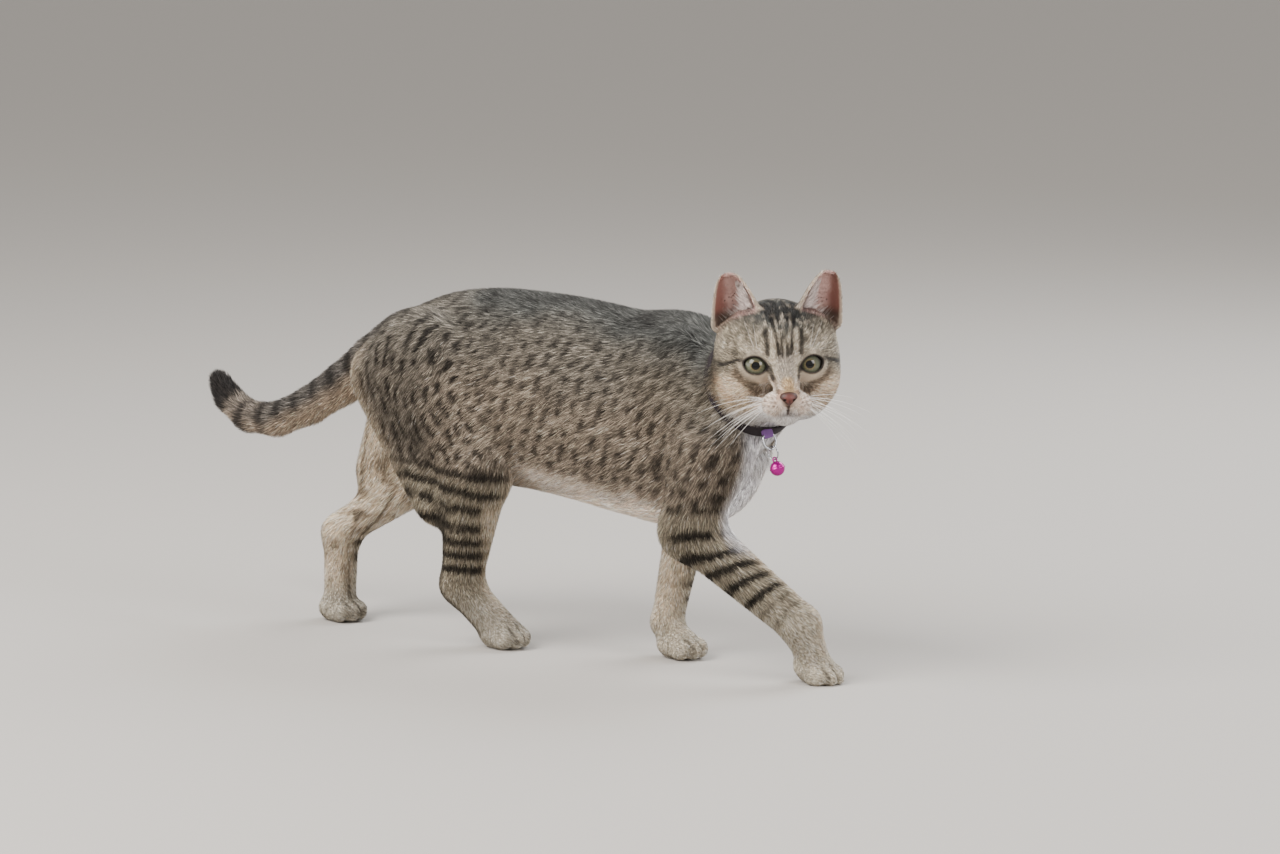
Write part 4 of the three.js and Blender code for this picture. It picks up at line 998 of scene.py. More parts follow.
def bump_group():
    """Fine unevenness shared by several materials: noise in object coordinates turned into a normal."""
    group = bpy.data.node_groups.new("Fine unevenness", "ShaderNodeTree")
    for label, value in (("Scale", 900.0), ("Depth", 0.0004), ("Stretch", 1.0)):
        socket = group.interface.new_socket(label, in_out="INPUT", socket_type="NodeSocketFloat")
        socket.default_value = value
    group.interface.new_socket("Normal", in_out="OUTPUT", socket_type="NodeSocketVector")
    nodes, links = group.nodes, group.links
    start, end = nodes.new("NodeGroupInput"), nodes.new("NodeGroupOutput")
    place = nodes.new("ShaderNodeTexCoord")
    longer = nodes.new("ShaderNodeCombineXYZ")
    longer.inputs["X"].default_value = 1.0
    longer.inputs["Y"].default_value = 1.0
    spread = nodes.new("ShaderNodeVectorMath")
    spread.operation = "MULTIPLY"
    grain = nodes.new("ShaderNodeTexNoise")
    grain.inputs["Detail"].default_value = 3.0
    bump = nodes.new("ShaderNodeBump")
    links.new(start.outputs["Stretch"], longer.inputs["Z"])
    links.new(place.outputs["Object"], spread.inputs[0])
    links.new(longer.outputs["Vector"], spread.inputs[1])
    links.new(spread.outputs["Vector"], grain.inputs["Vector"])
    links.new(start.outputs["Scale"], grain.inputs["Scale"])
    links.new(grain.outputs["Fac"], bump.inputs["Height"])
    links.new(start.outputs["Depth"], bump.inputs["Distance"])
    links.new(bump.outputs["Normal"], end.inputs["Normal"])
    return group


FINE_BUMP = bump_group()


def roughened(mat, scale, depth, stretch=1.0):
    """Put the fine unevenness into a material."""
    tree = mat.node_tree
    node = tree.nodes.new("ShaderNodeGroup")
    node.node_tree = FINE_BUMP
    node.inputs["Scale"].default_value = scale
    node.inputs["Depth"].default_value = depth
    node.inputs["Stretch"].default_value = stretch
    tree.links.new(node.outputs["Normal"], tree.nodes["Principled BSDF"].inputs["Normal"])
    return mat


SKIN_SHADE = 0.72  # the skin shows between the tufts, so it is painted darker than they are
SKIN = from_attribute(material("Cat skin", 0.75, Specular_IOR_Level=0.2), "coat_colour")
roughened(SKIN, 700, 0.0005, 0.4)
FUR = from_attribute(material("Cat fur", 0.62, Specular_IOR_Level=0.22), "coat_colour")

# ---------------------------------------------------------------- skin

FLESH = ["head", "ear_left", "ear_right", "neck", "chest", "loin", "hips"]
FLESH += ["tail_base", "tail_middle", "tail_tip"]
for half_name in ("right", "left"):
    FLESH += [f"shoulder_{half_name}", f"forearm_{half_name}", f"forepaw_{half_name}"]
    FLESH += [f"thigh_{half_name}", f"shank_{half_name}", f"hock_{half_name}", f"hindpaw_{half_name}"]

skin = mesh_object("skin", skin_points, skin_tris, SKIN)
skin_colour = in_chunks(coat_colour, skin_points)
paint(skin, skin_colour * SKIN_SHADE)
finished(skin, FLESH)

# ---------------------------------------------------------------- lie of the coat


def flow(p):
    """Unit direction that the hair runs in, mixed from the masses by nearness."""
    q = in_head(p)
    ways = []
    top, low, _ = np.moveaxis(stations(p[:, 0]), -1, 0)
    side = np.clip((top - p[:, 2]) / (top - low), 0, 1)
    back = np.stack([-np.ones(len(p)), 0.1 * np.sign(p[:, 1]), -0.15 - 0.55 * np.sin(side * np.pi)], -1)
    ways.append((trunk(p), back))
    front = np.stack([-0.6 + 0 * side, 0.12 * np.sign(p[:, 1] + 10), -0.75 + 0 * side], -1)
    ways.append((chain(p, NECK, 10), front))
    away = q - np.array([50.0, 0, -14])
    away = away * np.array([1, 1.25, 1.0]) + np.array([-8, 0, 4.0])
    ways.append((head_shape(q), unit(away) @ HEAD_AXES))
    up_ear = EAR_U * np.stack([np.ones(len(p)), np.sign(q[:, 1]), np.ones(len(p))], -1)
    ways.append((ear(q) - 1.5, up_ear @ HEAD_AXES))
    for leg in (RIGHT_FORE, LEFT_FORE):
        ways.append((limb(p, leg["scapula"], leg["shoulder"], 22, 24), (-0.75, 0, -0.65)))
        ways.append((limb(p, leg["shoulder"], leg["elbow"], 24, 20), (-0.45, 0, -0.9)))
        ways.append((limb(p, leg["elbow"], leg["wrist"], 17, 14), np.subtract(leg["wrist"], leg["elbow"])))
    for leg in (RIGHT_HIND, LEFT_HIND):
        ways.append((limb(p, leg["hip"], leg["knee"], 40, 26, 0.72), (-0.55, 0, -0.85)))
        ways.append((limb(p, leg["ischium"], leg["ham"], 26, 20), (-0.3, 0, -0.95)))
        ways.append((limb(p, leg["knee"], leg["heel"], 20, 14), np.subtract(leg["heel"], leg["knee"])))
        ways.append((limb(p, leg["heel"], leg["ball"], 11, 10), np.subtract(leg["ball"], leg["heel"])))
    for leg in (RIGHT_FORE, LEFT_FORE, RIGHT_HIND, LEFT_HIND):
        ways.append((paw(p, leg), axes_of(leg["yaw"], 0)[0] + np.array([0, 0, -0.35])))
    for (a, ra), (b, rb) in zip(TAIL, TAIL[1:]):
        ways.append((limb(p, a, b, ra, rb), np.subtract(b, a)))
    near = np.stack([d for d, _ in ways], -1)
    weight = np.exp(-(near - near.min(-1, keepdims=True)) / 8.0)
    total = np.zeros((len(p), 3))
    for i, (_, way) in enumerate(ways):
        total += weight[:, i, None] * unit(np.broadcast_to(way, p.shape))
    return unit(total)


COLLAR_AT, COLLAR_AXIS = np.array([94.0, -18, 193]), unit(np.array([0.764, -0.239, 0.6]))
COLLAR_PLANE, COLLAR_WIDE, COLLAR_THICK, COLLAR_SINK = 203.4, 11.0, 2.4, 2.2
band_centre = COLLAR_AT + COLLAR_AXIS * (COLLAR_PLANE - COLLAR_AT @ COLLAR_AXIS)
band_front = unit(np.array([1.0, 0, 0]) - COLLAR_AXIS * COLLAR_AXIS[0])
band_left = np.cross(COLLAR_AXIS, band_front)


def throat(p):
    """Trunk and neck alone, which the collar lies on."""
    return melt(trunk(p), chain(p, NECK, 10), BLEND["neck"])


# Hair on each mass: length and width in millimetres, tufts per square millimetre.
HAIR = dict(
    trunk=(7.6, 0.66, 1.25),
    neck=(7.8, 0.66, 1.3),
    head=(3.4, 0.46, 3.1),
    ear=(2.6, 0.36, 2.0),
    tail=(8.5, 0.72, 1.2),
    right_fore=(6.8, 0.64, 1.3),
    left_fore=(6.8, 0.64, 1.1),
    right_hind=(7.2, 0.66, 1.25),
    left_hind=(7.2, 0.66, 1.05),
)
BEND_FROM = 10.5  # longer tufts than this bend half way
PALE_TIP, DARK_TIP, PLAIN_TIP = 2.5, 0.3, 1.0  # tips of banded hair, against the hair below them
PALE_SHARE, DARK_SHARE = 0.3, 0.26
REGIONS = list(HAIR)


def region_weights(p):
    """How far each place belongs to each mass, for hair length and for dividing the coat in pieces."""
    m = masses(p, 0.0)
    for name, leg in zip(REGIONS[-4:], (RIGHT_FORE, LEFT_FORE, RIGHT_HIND, LEFT_HIND)):
        m[name] = np.minimum(m[name], paw(p, leg))
    m["ear"] = ear(in_head(p)) - 1.2
    d = np.stack([m[n] for n in HAIR], -1)
    w = np.exp(-(d - d.min(-1, keepdims=True)) / 5.0)
    return w / w.sum(-1, keepdims=True)


def hair_sizes(p, weights):
    """Length, width and number per square millimetre at each place."""
    long, wide, many = (weights @ np.array(list(HAIR.values()))).T
    on_leg = weights[:, -4:].sum(1)
    shorter = 1 - on_leg * smooth(95 - p[:, 2], 0, 75) * 0.62
    q = in_head(p)
    on_head = weights[:, REGIONS.index("head")]
    muzzle = on_head * smooth(q[:, 0], 14, 36)
    cheek = on_head * smooth(-q[:, 0], -14, 16) * smooth(24 - q[:, 2], 0, 26)
    belly = weights[:, 0] * smooth(124 - p[:, 2], 0, 16)
    chest = white_front(p) * (1 - on_head)
    long = long * shorter * (1 - 0.5 * muzzle) * (1 + 1.1 * cheek) * (1 + 0.7 * belly + 0.35 * chest)
    wide = wide * (1 - 0.3 * (1 - shorter)) * (1 - 0.22 * muzzle)
    return long, wide, many * (1 + 0.45 * muzzle) / shorter ** 0.8


def coat_field(p):
    """Signed distance to the outside of the coat."""
    return body(p, 0.0)


random = np.random.default_rng(SEED)

# What the tufts need is worked out at the skin's own points and read between them.
skin_normal = unit(in_chunks(lambda part: slope(coat_field, part), skin_points))
skin_lie = in_chunks(flow, skin_points)
skin_weights = in_chunks(region_weights, skin_points)

corner = skin_points[skin_tris]
face_area = np.linalg.norm(np.cross(corner[:, 1] - corner[:, 0], corner[:, 2] - corner[:, 0]), axis=1) / 2
face_middle = corner.mean(1)
_, _, face_many = hair_sizes(face_middle, skin_weights[skin_tris].mean(1))
middle_q = in_head(face_middle)
bare = (egg(middle_q, NOSE_AT, NOSE_R) < 0.7) & (middle_q[:, 0] > 36)
eye_r, eye_a, eye_b, eye_out = eye_place(middle_q)
bare |= (eye_r < 15) & (eye_out > 0) & (almond(eye_a, eye_b) < 0.8)
bare |= face_middle[:, 2] < 1.6
bare |= ear_bowl(middle_q) < 1.2
under_band = np.abs(face_middle @ COLLAR_AXIS - COLLAR_PLANE) < COLLAR_WIDE / 2 + 0.5
bare |= under_band & (head_shape(middle_q) > 0) & (face_middle[:, 2] < 204)
number = np.floor(face_area * face_many * ~bare + random.random(len(face_area))).astype(int)
chosen = np.repeat(np.arange(len(number)), number)
share = random.random((len(chosen), 2))
over = share.sum(1) > 1
share[over] = 1 - share[over]
share = np.concatenate([1 - share.sum(1, keepdims=True), share], 1)


def between_corners(values):
    """Values of the skin's points, read at each tuft's root by its shares of the corners."""
    return (values[skin_tris[chosen]] * share[..., None]).sum(1)


root = between_corners(skin_points)
normal = unit(between_corners(skin_normal))
lie = between_corners(skin_lie)
root_weights = between_corners(skin_weights)
hair_long, hair_wide, _ = hair_sizes(root, root_weights)
hair_long *= random.uniform(0.7, 1.25, len(root))
lie = unit(lie - normal * (lie * normal).sum(-1, keepdims=True) + 1e-6)
swing = np.radians(random.normal(0, 9, len(root)) + 11 * noise(root, 9, 121))[:, None]
lie = lie * np.cos(swing) + np.cross(normal, lie) * np.sin(swing)
cross_way = np.cross(normal, lie)


def raised(points, level):
    """Move points along their root's normal by what their field lacks to the wanted level."""
    return points + normal * (level - in_chunks(coat_field, points))[:, None]


# Hair ahead of the collar stops at its edge, so that the band shows.
ahead_of_band = root @ COLLAR_AXIS - COLLAR_PLANE - COLLAR_WIDE / 2
reach = -(lie @ COLLAR_AXIS)
room = np.where((ahead_of_band > 0) & (reach > 0.1), ahead_of_band / np.maximum(reach, 0.1), 99)
low_on_neck = smooth(200 - root[:, 2], 0, 12)
hair_long = np.minimum(hair_long, room + 0.5 + 30 * (1 - low_on_neck))

tip_level = random.uniform(-0.9, 0.4, len(root)) * np.clip(hair_long / 8, 0.25, 1)
fringe = root_weights[:, 0] * smooth(118 - root[:, 2], 0, 10)
tip_level += fringe * random.uniform(0, 1.4, len(root))
over_band = smooth(14 - np.abs(ahead_of_band + 6), 0, 6) * smooth(root[:, 2], 198, 208) * (throat(root) < 2)
tip_level += over_band * random.uniform(0.6, 1.8, len(root))
tip = raised(root + lie * hair_long[:, None] + normal * (hair_long * 0.25)[:, None], tip_level)
bent = hair_long > BEND_FROM
middle = root + (tip - root) * 0.5 + normal * (0.10 * hair_long)[:, None]

tuft_colour = in_chunks(coat_colour, root + (tip - root) * 0.6)
shade = np.exp(random.normal(0, 0.36, len(root)))[:, None]
ticked = random.random(len(root))
tip_tint = np.where(ticked > 1 - DARK_SHARE, DARK_TIP, PLAIN_TIP)
tip_tint = np.where(ticked < PALE_SHARE, PALE_TIP, tip_tint)[:, None]

PIECES = {
    "coat_head": ("head",), "coat_ears": ("ear",), "coat_neck": ("neck",), "coat_tail": ("tail",),
    "coat_forelegs": ("right_fore", "left_fore"),
    "coat_hind_right": ("right_hind",), "coat_hind_left": ("left_hind",),
}


def cylinder_uv(p, axis_from, axis_to):
    """Unwrap round an axis: the turn about it and the distance along it, both within 0.01 to 0.99."""
    a, b = np.asarray(axis_from, float), np.asarray(axis_to, float)
    w = unit(b - a)
    u = unit(np.cross(w, (0.0, 0.1, 1.0)))
    v = np.cross(w, u)
    d = p - a
    turn = np.arctan2(d @ v, d @ u) / (2 * np.pi) + 0.5
    run = d @ w
    run = (run - run.min()) / max(np.ptp(run), 1e-6)
    return 0.01 + 0.98 * np.stack([turn, run], -1)


# Corners of a tuft's faces, turned outwards, and of its patch on the unwrap, in units of PATCH.
STRAIGHT_FACES = [[0, 1, 2], [0, 3, 1], [1, 3, 2], [2, 3, 0]]
STRAIGHT_PATCH = [[-1, -1], [1, -1], [0, -0.3], [0, 1.0]]
BENT_FACES = [
    [0, 1, 2], [0, 4, 1], [0, 3, 4], [1, 5, 2], [1, 4, 5],
    [2, 3, 0], [2, 5, 3], [3, 6, 4], [4, 6, 5], [5, 6, 3],
]
BENT_PATCH = [[-1, -1], [1, -1], [0, -0.6], [-0.8, 0.2], [0.8, 0.2], [0, 0.5], [0, 1.0]]
PATCH = 0.0015


def bent_tufts(pick):
    """Closed three-sided spikes: three corners at the root, three half way along the bend, and the tip."""
    r, m, t = root[pick], middle[pick], tip[pick]
    c, n = cross_way[pick], normal[pick]
    w = hair_wide[pick, None] / 2
    rings = []
    for centre, size in ((r - n * 0.3, 0.8), (m, 1.0)):
        rings += [centre + c * w * size, centre - c * w * size, centre + n * w * size * 0.7]
    base = tuft_colour[pick] * shade[pick]
    # painted shade: the root ring is darker than the rest, for the shade deep in the coat; the tip takes the
    # banded hair's tint
    levels = [base * 0.62] * 3 + [base] * 3 + [base * tip_tint[pick]]
    return [*rings, t], levels, BENT_FACES, BENT_PATCH


def straight_tufts(pick):
    """Closed spikes of four corners for short hair: a triangle at the root and the tip."""
    r, t, c, n = root[pick], tip[pick], cross_way[pick], normal[pick]
    w = hair_wide[pick, None] / 2
    low = r - n * 0.35
    base = tuft_colour[pick] * shade[pick]
    # painted shade: the corners at the root are darker, for the shade deep in the coat
    levels = [base * 0.7, base * 0.7, base * 0.9, base * tip_tint[pick]]
    corners = [low + c * w, low - c * w, r + n * w * 0.8 + lie[pick] * w, t]
    return corners, levels, STRAIGHT_FACES, STRAIGHT_PATCH


def tuft_piece(name, pick, axis, maker):
    """One mesh of many tufts: the maker's corners, faces, colours and patch repeated for each of them."""
    corners, levels, faces, patch = maker(pick)
    verts = np.stack(corners, 1)
    first = (np.arange(len(verts)) * len(corners))[:, None, None]
    obj = mesh_object(name, verts.reshape(-1, 3), (first + np.array(faces)).reshape(-1, 3), FUR)
    paint(obj, np.clip(np.stack(levels, 1).reshape(-1, 3), 0, 1))
    uv = cylinder_uv(root[pick], *axis)[:, None] + PATCH * np.array(patch)
    unwrap(obj, uv.reshape(-1, 2))
    return finished(obj)


def ear_hair(side, count=430):
    """Long pale hair inside an ear, from its inner edge and foot, leaning up and across the hollow."""
    u = random.uniform(-1, 25, count)
    edge = random.uniform(-0.92, -0.35, count) + 1.1 * smooth(7 - u, 0, 8) * random.random(count)
    half = ear_half(u) - 2.6
    s = edge * half * EAR_OUTWARD
    v = -np.sqrt(np.clip(1 - edge ** 2, 0, 1)) * half * EAR_DEPTH * 0.8 + 0.8
    mirror = np.array([1, side, 1])
    frame_of_ear = [EAR_U * mirror, EAR_S * mirror, EAR_V * mirror]
    start = EAR_BASE * mirror + sum(k[:, None] * axis for k, axis in zip((u, s, v), frame_of_ear))
    across = (0.75 - 0.5 * edge + random.normal(0, 0.14, count)) * EAR_OUTWARD * smooth(26 - u, 0, 24)
    lift = random.uniform(0.05, 0.3, count)
    way = frame_of_ear[0] + across[:, None] * frame_of_ear[1] + lift[:, None] * frame_of_ear[2]
    long = random.uniform(6.5, 12.5, count) * (1 - 0.45 * np.clip(u / 25, 0, 1))
    stop = start + unit(way) * long[:, None]
    beside = unit(np.cross(way, frame_of_ear[2])) * 0.17
    front = frame_of_ear[2] * 0.3
    corners = [out_head(x) for x in (start + beside, start - beside, start + front, stop)]
    # painted shade: hair at the foot of the ear is darker
    tint = mixed(srgb(236, 220, 214), srgb(160, 146, 136), smooth(4 - u, 0, 7))
    tint = tint * random.uniform(0.4, 1.15, count)[:, None]
    # painted shade: the corners at the root are darker than the tip
    return np.stack(corners, 1), np.stack([tint * 0.75, tint * 0.75, tint * 0.9, tint], 1)


def ear_hair_piece():
    """The hair of both ears as one mesh of closed spikes."""
    corners, colours = (np.concatenate(both) for both in zip(ear_hair(1), ear_hair(-1)))
    first = (np.arange(len(corners)) * 4)[:, None, None]
    faces = np.array(STRAIGHT_FACES)[:, [0, 2, 1]]
    obj = mesh_object("coat_inner_ears", corners.reshape(-1, 3), (first + faces).reshape(-1, 3), FUR)
    paint(obj, np.clip(colours.reshape(-1, 3), 0, 1))
    uv = cylinder_uv(corners[:, 0], *AXES["coat_ears"])[:, None]
    unwrap(obj, (uv + PATCH * np.array(STRAIGHT_PATCH)).reshape(-1, 2))
    finished(obj)


# The axis that each part of the coat is unwrapped round.
AXES = dict(
    coat_head=(out_head((-40, 0, 0)), out_head((50, 0, 0))),
    coat_ears=(out_head((0, -40, 40)), out_head((0, 40, 40))),
    coat_neck=((50, 0, 200), (115, -25, 205)),
    coat_tail=((-203, 0, 215), (-400, 35, 150)),
    coat_forelegs=((60, 0, 240), (60, 0, 0)),
    coat_hind_right=((-130, -25, 240), (-125, -25, 0)),
    coat_hind_left=((-200, 25, 240), (-230, 25, 0)),
    coat_trunk=((-226, 0, 190), (97, 0, 180)),
)
KINDS = (("", ~bent, straight_tufts, 47000), ("_long", bent, bent_tufts, 19000))  # at most so many in a mesh
owner = np.argmax(root_weights, axis=1)
owners = {label: np.isin(owner, [REGIONS.index(n) for n in names]) for label, names in PIECES.items()}
owners["coat_trunk"] = ~np.any(list(owners.values()), axis=0)
for label, pick in owners.items():
    for suffix, kind, maker, limit in KINDS:
        some = np.flatnonzero(pick & kind)
        if len(some) == 0:
            continue
        order = some[np.argsort(root[some, 0], kind="stable")]
        for i, part in enumerate(np.array_split(order, len(some) // limit + 1)):
            tuft_piece(f"{label}{suffix}_{i + 1}", part, AXES[label], maker)
ear_hair_piece()


# ---------------------------------------------------------------- eyes, nose and whiskers


def turns(count):
    """Angles once round, the last a step short of the first."""
    return np.linspace(0, 2 * np.pi, count, endpoint=False)


def round_grid(rings, around):
    """Faces of a closed surface: pole, rings of points, pole."""
    k = np.arange(around)
    n = (k + 1) % around
    first = 1
    last = 1 + (rings - 1) * around
    tops = np.stack([np.zeros(around, int), first + k, first + n], 1)
    ends = np.stack([last + n, last + k, np.full(around, 1 + rings * around)], 1)
    sides = []
    for i in range(rings - 1):
        a, b = 1 + i * around, 1 + (i + 1) * around
        sides.append(np.stack([a + k, b + k, b + n, a + k, b + n, a + n], 1).reshape(-1, 3))
    return np.concatenate([tops, *sides, ends])


GAZE = {1: unit(np.array([0.985, -0.03, 0.09])), -1: unit(np.array([0.985, -0.16, 0.09]))}


def eye_mesh(side, around=144):
    """A ball with its pole on the gaze: radius R and a bulge near the pole, coloured by the polar angle, with
    painted shade under the upper lid.
    """
    polar = np.radians(np.concatenate([np.linspace(0.8, 50, 72), np.linspace(53, 176, 26)]))
    gaze = GAZE[side]
    across = unit(np.cross((0, 0, 1.0), gaze))
    up = np.cross(gaze, across)
    a, b = np.meshgrid(polar, turns(around), indexing="ij")
    a, b = np.concatenate([[0], a.ravel(), [np.pi]]), np.concatenate([[0], b.ravel(), [0]])
    ring = across * np.cos(b)[:, None] + up * np.sin(b)[:, None]
    way = gaze * np.cos(a)[:, None] + ring * np.sin(a)[:, None]
    bulge = 0.75 * (1 - smooth(np.degrees(a), 10, 40))
    points = way * (EYE_R - 0.15 + bulge)[:, None] + np.array([EYE_AT[0], side * EYE_AT[1], EYE_AT[2]])
    deg = np.degrees(a)
    streak = noise(np.stack([np.cos(b) * 9, np.sin(b) * 9, deg * 0.05], -1), 0.55, 131)
    fine = noise(np.stack([np.cos(b) * 9, np.sin(b) * 9, deg * 0.12], -1), 0.22, 132)
    colour = mixed(srgb(96, 88, 62), srgb(84, 86, 70), smooth(deg, 15, 26))
    colour = colour * (1 + 0.22 * streak + 0.16 * fine)[:, None]
    colour = mixed(colour, srgb(62, 64, 52), smooth(deg, 32, 42))
    # painted shade: the top of the iris is darker, under the upper lid
    colour = colour * (0.5 + 0.5 * smooth(-np.sin(b) * np.sin(a), -0.42, 0.1))[:, None]
    pupil = 14.6 + 0.5 * np.cos(2 * b)
    colour = mixed(colour, colour * np.array([0.9, 0.8, 0.62]), 1 - smooth(deg, pupil, pupil + 3.0))
    colour = mixed(colour, srgb(4, 4, 5), 1 - smooth(deg, pupil - 0.9, pupil + 0.5))
    colour = mixed(colour, srgb(26, 23, 19), smooth(deg, 41, 45))
    colour = mixed(colour, srgb(150, 132, 120), smooth(deg, 66, 76))
    return out_head(points), round_grid(len(polar), around), np.clip(colour, 0, 1)


EYE_FINISH = material(
    "Cat eye", 0.4, Specular_IOR_Level=0.0, Coat_Weight=1.0, Coat_Roughness=0.015, Coat_IOR=1.42
)
from_attribute(EYE_FINISH, "eye_colour")
for side, label in ((1, "eye_left"), (-1, "eye_right")):
    points, faces, colour = eye_mesh(side)
    ball = mesh_object(label + "_ball", points, faces, EYE_FINISH)
    paint(ball, colour, "eye_colour")
    finished(ball, [label])


def nose_mesh(rings=64, around=96):
    """An egg that narrows from its top to its foot, with the nostrils and the groove pressed in."""
    polar = np.linspace(0.03, np.pi - 0.03, rings)
    a, b = np.meshgrid(polar, turns(around), indexing="ij")
    a, b = np.concatenate([[0], a.ravel(), [np.pi]]), np.concatenate([[0], b.ravel(), [0]])
    x, y, z = np.cos(a), np.sin(a) * np.cos(b), np.sin(a) * np.sin(b)
    narrow = np.interp(z, [-1, -0.6, 0.1, 0.75, 1], [0.28, 0.42, 0.86, 1.04, 0.92])
    p = np.stack([x * NOSE_R[0], y * NOSE_R[1] * narrow, z * NOSE_R[2]], -1)
    m = np.stack([p[:, 0], np.abs(p[:, 1]), p[:, 2]], -1)
    front = smooth(x, 0.1, 0.5)
    dent = np.hypot((m[:, 1] - 3.0 - 0.25 * (p[:, 2] + 0.6)) / 1.15, (p[:, 2] + 0.6) / 1.0)
    slit = np.hypot((m[:, 1] - 4.6) / 1.5, (p[:, 2] + 1.3) / 0.45)
    hollow = np.maximum(1 - smooth(dent, 0.3, 1.1), 0.8 * (1 - smooth(slit, 0.4, 1.2))) * front
    groove = (1 - smooth(m[:, 1], 0.15, 0.7)) * smooth(-p[:, 2], 0.2, 1.5) * front
    p[:, 0] -= 1.9 * hollow + 0.5 * groove
    grain = noise(p, 0.7, 141)
    colour = srgb(84, 38, 31) * (1 + 0.16 * grain[:, None])
    edge = smooth(np.hypot(y, z * 0.95), 0.5, 0.82)
    colour = mixed(colour, srgb(52, 31, 26), edge * 0.9)
    # painted shade: the nostrils are nearly black and the groove darker, for the shade inside them
    colour = mixed(colour, srgb(22, 13, 12), hollow * 0.95)
    colour = mixed(colour, srgb(70, 36, 32), groove)
    points = out_head(p + np.array(NOSE_AT) + np.array([0.2, 0, 0]))
    return points, round_grid(rings, around), np.clip(colour, 0, 1)


NOSE_FINISH = from_attribute(material("Nose leather", 0.48, Specular_IOR_Level=0.45), "nose_colour")
points, faces, colour = nose_mesh()
nose = mesh_object("nose_leather", points, faces, NOSE_FINISH)
paint(nose, colour, "nose_colour")
roughened(NOSE_FINISH, 2600, 0.00012)
finished(nose, ["nose"])


def tube(path, radii, sides=6):
    """A closed tube: rings of points round a path, each in the plane across it, with a point at each end."""
    way = unit(np.gradient(path, axis=0))
    across = unit(np.cross(way, (0.13, 0.31, 0.94)))
    other = np.cross(way, across)
    turn = turns(sides)
    ring = across[:, None] * np.cos(turn)[None, :, None] + other[:, None] * np.sin(turn)[None, :, None]
    rings = path[:, None] + ring * np.asarray(radii)[:, None, None]
    points = np.concatenate([path[:1], rings.reshape(-1, 3), path[-1:]])
    return points, round_grid(len(path), sides)[:, ::-1]


def joined(parts):
    """Several point and face lists as one."""
    points, faces, start = [], [], 0
    for p, f in parts:
        points.append(p)
        faces.append(f + start)
        start += len(p)
    return np.concatenate(points), np.concatenate(faces)


def whisker(side, height, ahead, long, lift, sweep):
    """A hair from the pad: p(t) = foot + way t L + droop t^2, thinning to its end."""
    t = np.linspace(0, 1, 15)[:, None]
    foot = np.array([ahead, side * 14.5, height])
    way = unit(np.array([-sweep, side * 0.95, lift]))
    bend = np.array([-0.10, -0.02 * side, -0.24])
    path = foot + way * t * long + bend * t ** 2 * long
    return tube(out_head(path), 0.19 * (1 - 0.86 * t[:, 0]), 5)


WHISKER_ROWS = ((-21.5, 37, 0.10), (-24.4, 39, -0.14), (-27.2, 38, -0.4))  # height, how far ahead, rise
WHISKER_LONG = (36, 46, 52, 44)  # from the front of a row to its rear
whiskers = []
for side in (1, -1):
    for height, ahead, rise in WHISKER_ROWS:
        for n in range(4):
            long = WHISKER_LONG[n] * random.uniform(0.9, 1.08)
            spread = random.uniform(-0.05, 0.05)
            sweep = (0.02 if side > 0 else 0.42) + 0.12 * n
            rise_here = rise - 0.12 * (3 - n) + spread
            whiskers.append(whisker(side, height, ahead - 3.0 * n, long * 0.94, rise_here, sweep))
    for n in range(2):
        t = np.linspace(0, 1, 10)[:, None]
        foot = np.array([25.0 - n, side * (17.5 + 1.3 * n), 9.5 + 0.6 * n])
        rise_way = np.array([0.35, side * (0.15 + 0.2 * n), 0.85])
        path = foot + rise_way * t * 22 + np.array([-0.3, 0, 0.1]) * t ** 2 * 16
        whiskers.append(tube(out_head(path), 0.11 * (1 - 0.86 * t[:, 0]), 5))
points, faces = joined(whiskers)
WHISKER = material("Whisker", 0.35, Base_Color=(0.9, 0.88, 0.85, 1), Specular_IOR_Level=0.5)
finished(mesh_object("whiskers", points, faces, WHISKER))

# ---------------------------------------------------------------- collar and what hangs from it


def squared(v, power):
    """A sine or cosine with its sign kept and its size raised to a power: below 1 it squares a circle off."""
    return np.sign(v) * np.abs(v) ** power


def collar_mesh(steps=220, around=20):
    """The neck's section in the collar's plane, found by walking out to the coat, swept by a flat oval."""
    angle = turns(steps)
    way = band_front * np.cos(angle)[:, None] + band_left * np.sin(angle)[:, None]
    r = np.full(steps, 20.0)
    for _ in range(60):
        r -= throat(band_centre + way * r[:, None]) * 0.8
    smoothing = np.exp(-(np.minimum(np.arange(steps), steps - np.arange(steps)) / 7.0) ** 2)
    r = np.real(np.fft.ifft(np.fft.fft(r) * np.fft.fft(smoothing / smoothing.sum())))
    turn = turns(around)
    out = r[:, None] - COLLAR_SINK + COLLAR_THICK / 2 + squared(np.sin(turn), 0.35)[None] * COLLAR_THICK / 2
    wide = squared(np.cos(turn), 0.35)[None, :, None] * COLLAR_WIDE / 2 * COLLAR_AXIS
    points = band_centre + way[:, None] * out[..., None] + wide
    k, n = np.arange(steps), (np.arange(steps) + 1) % steps
    faces = []
    for j in range(around):
        i = (j + 1) % around
        faces.append(np.stack([k * around + j, k * around + i, n * around + i, n * around + j], 1))
    return points.reshape(-1, 3), np.concatenate(faces)


WEB = material("Collar webbing", 0.8, Base_Color=(*srgb(32, 25, 29), 1), Specular_IOR_Level=0.3)
roughened(WEB, 2400, 0.0003)
finished(mesh_object("collar_band", *collar_mesh(), WEB), ["collar"])

HANG_TOP = np.array([123.2, -29.6, 174.8])
HANG_OUT, HANG_ASIDE = unit(np.array([0.539, -0.83, 0.139])), unit(np.array([0.839, 0.545, 0]))
swing_angle = math.radians(16)
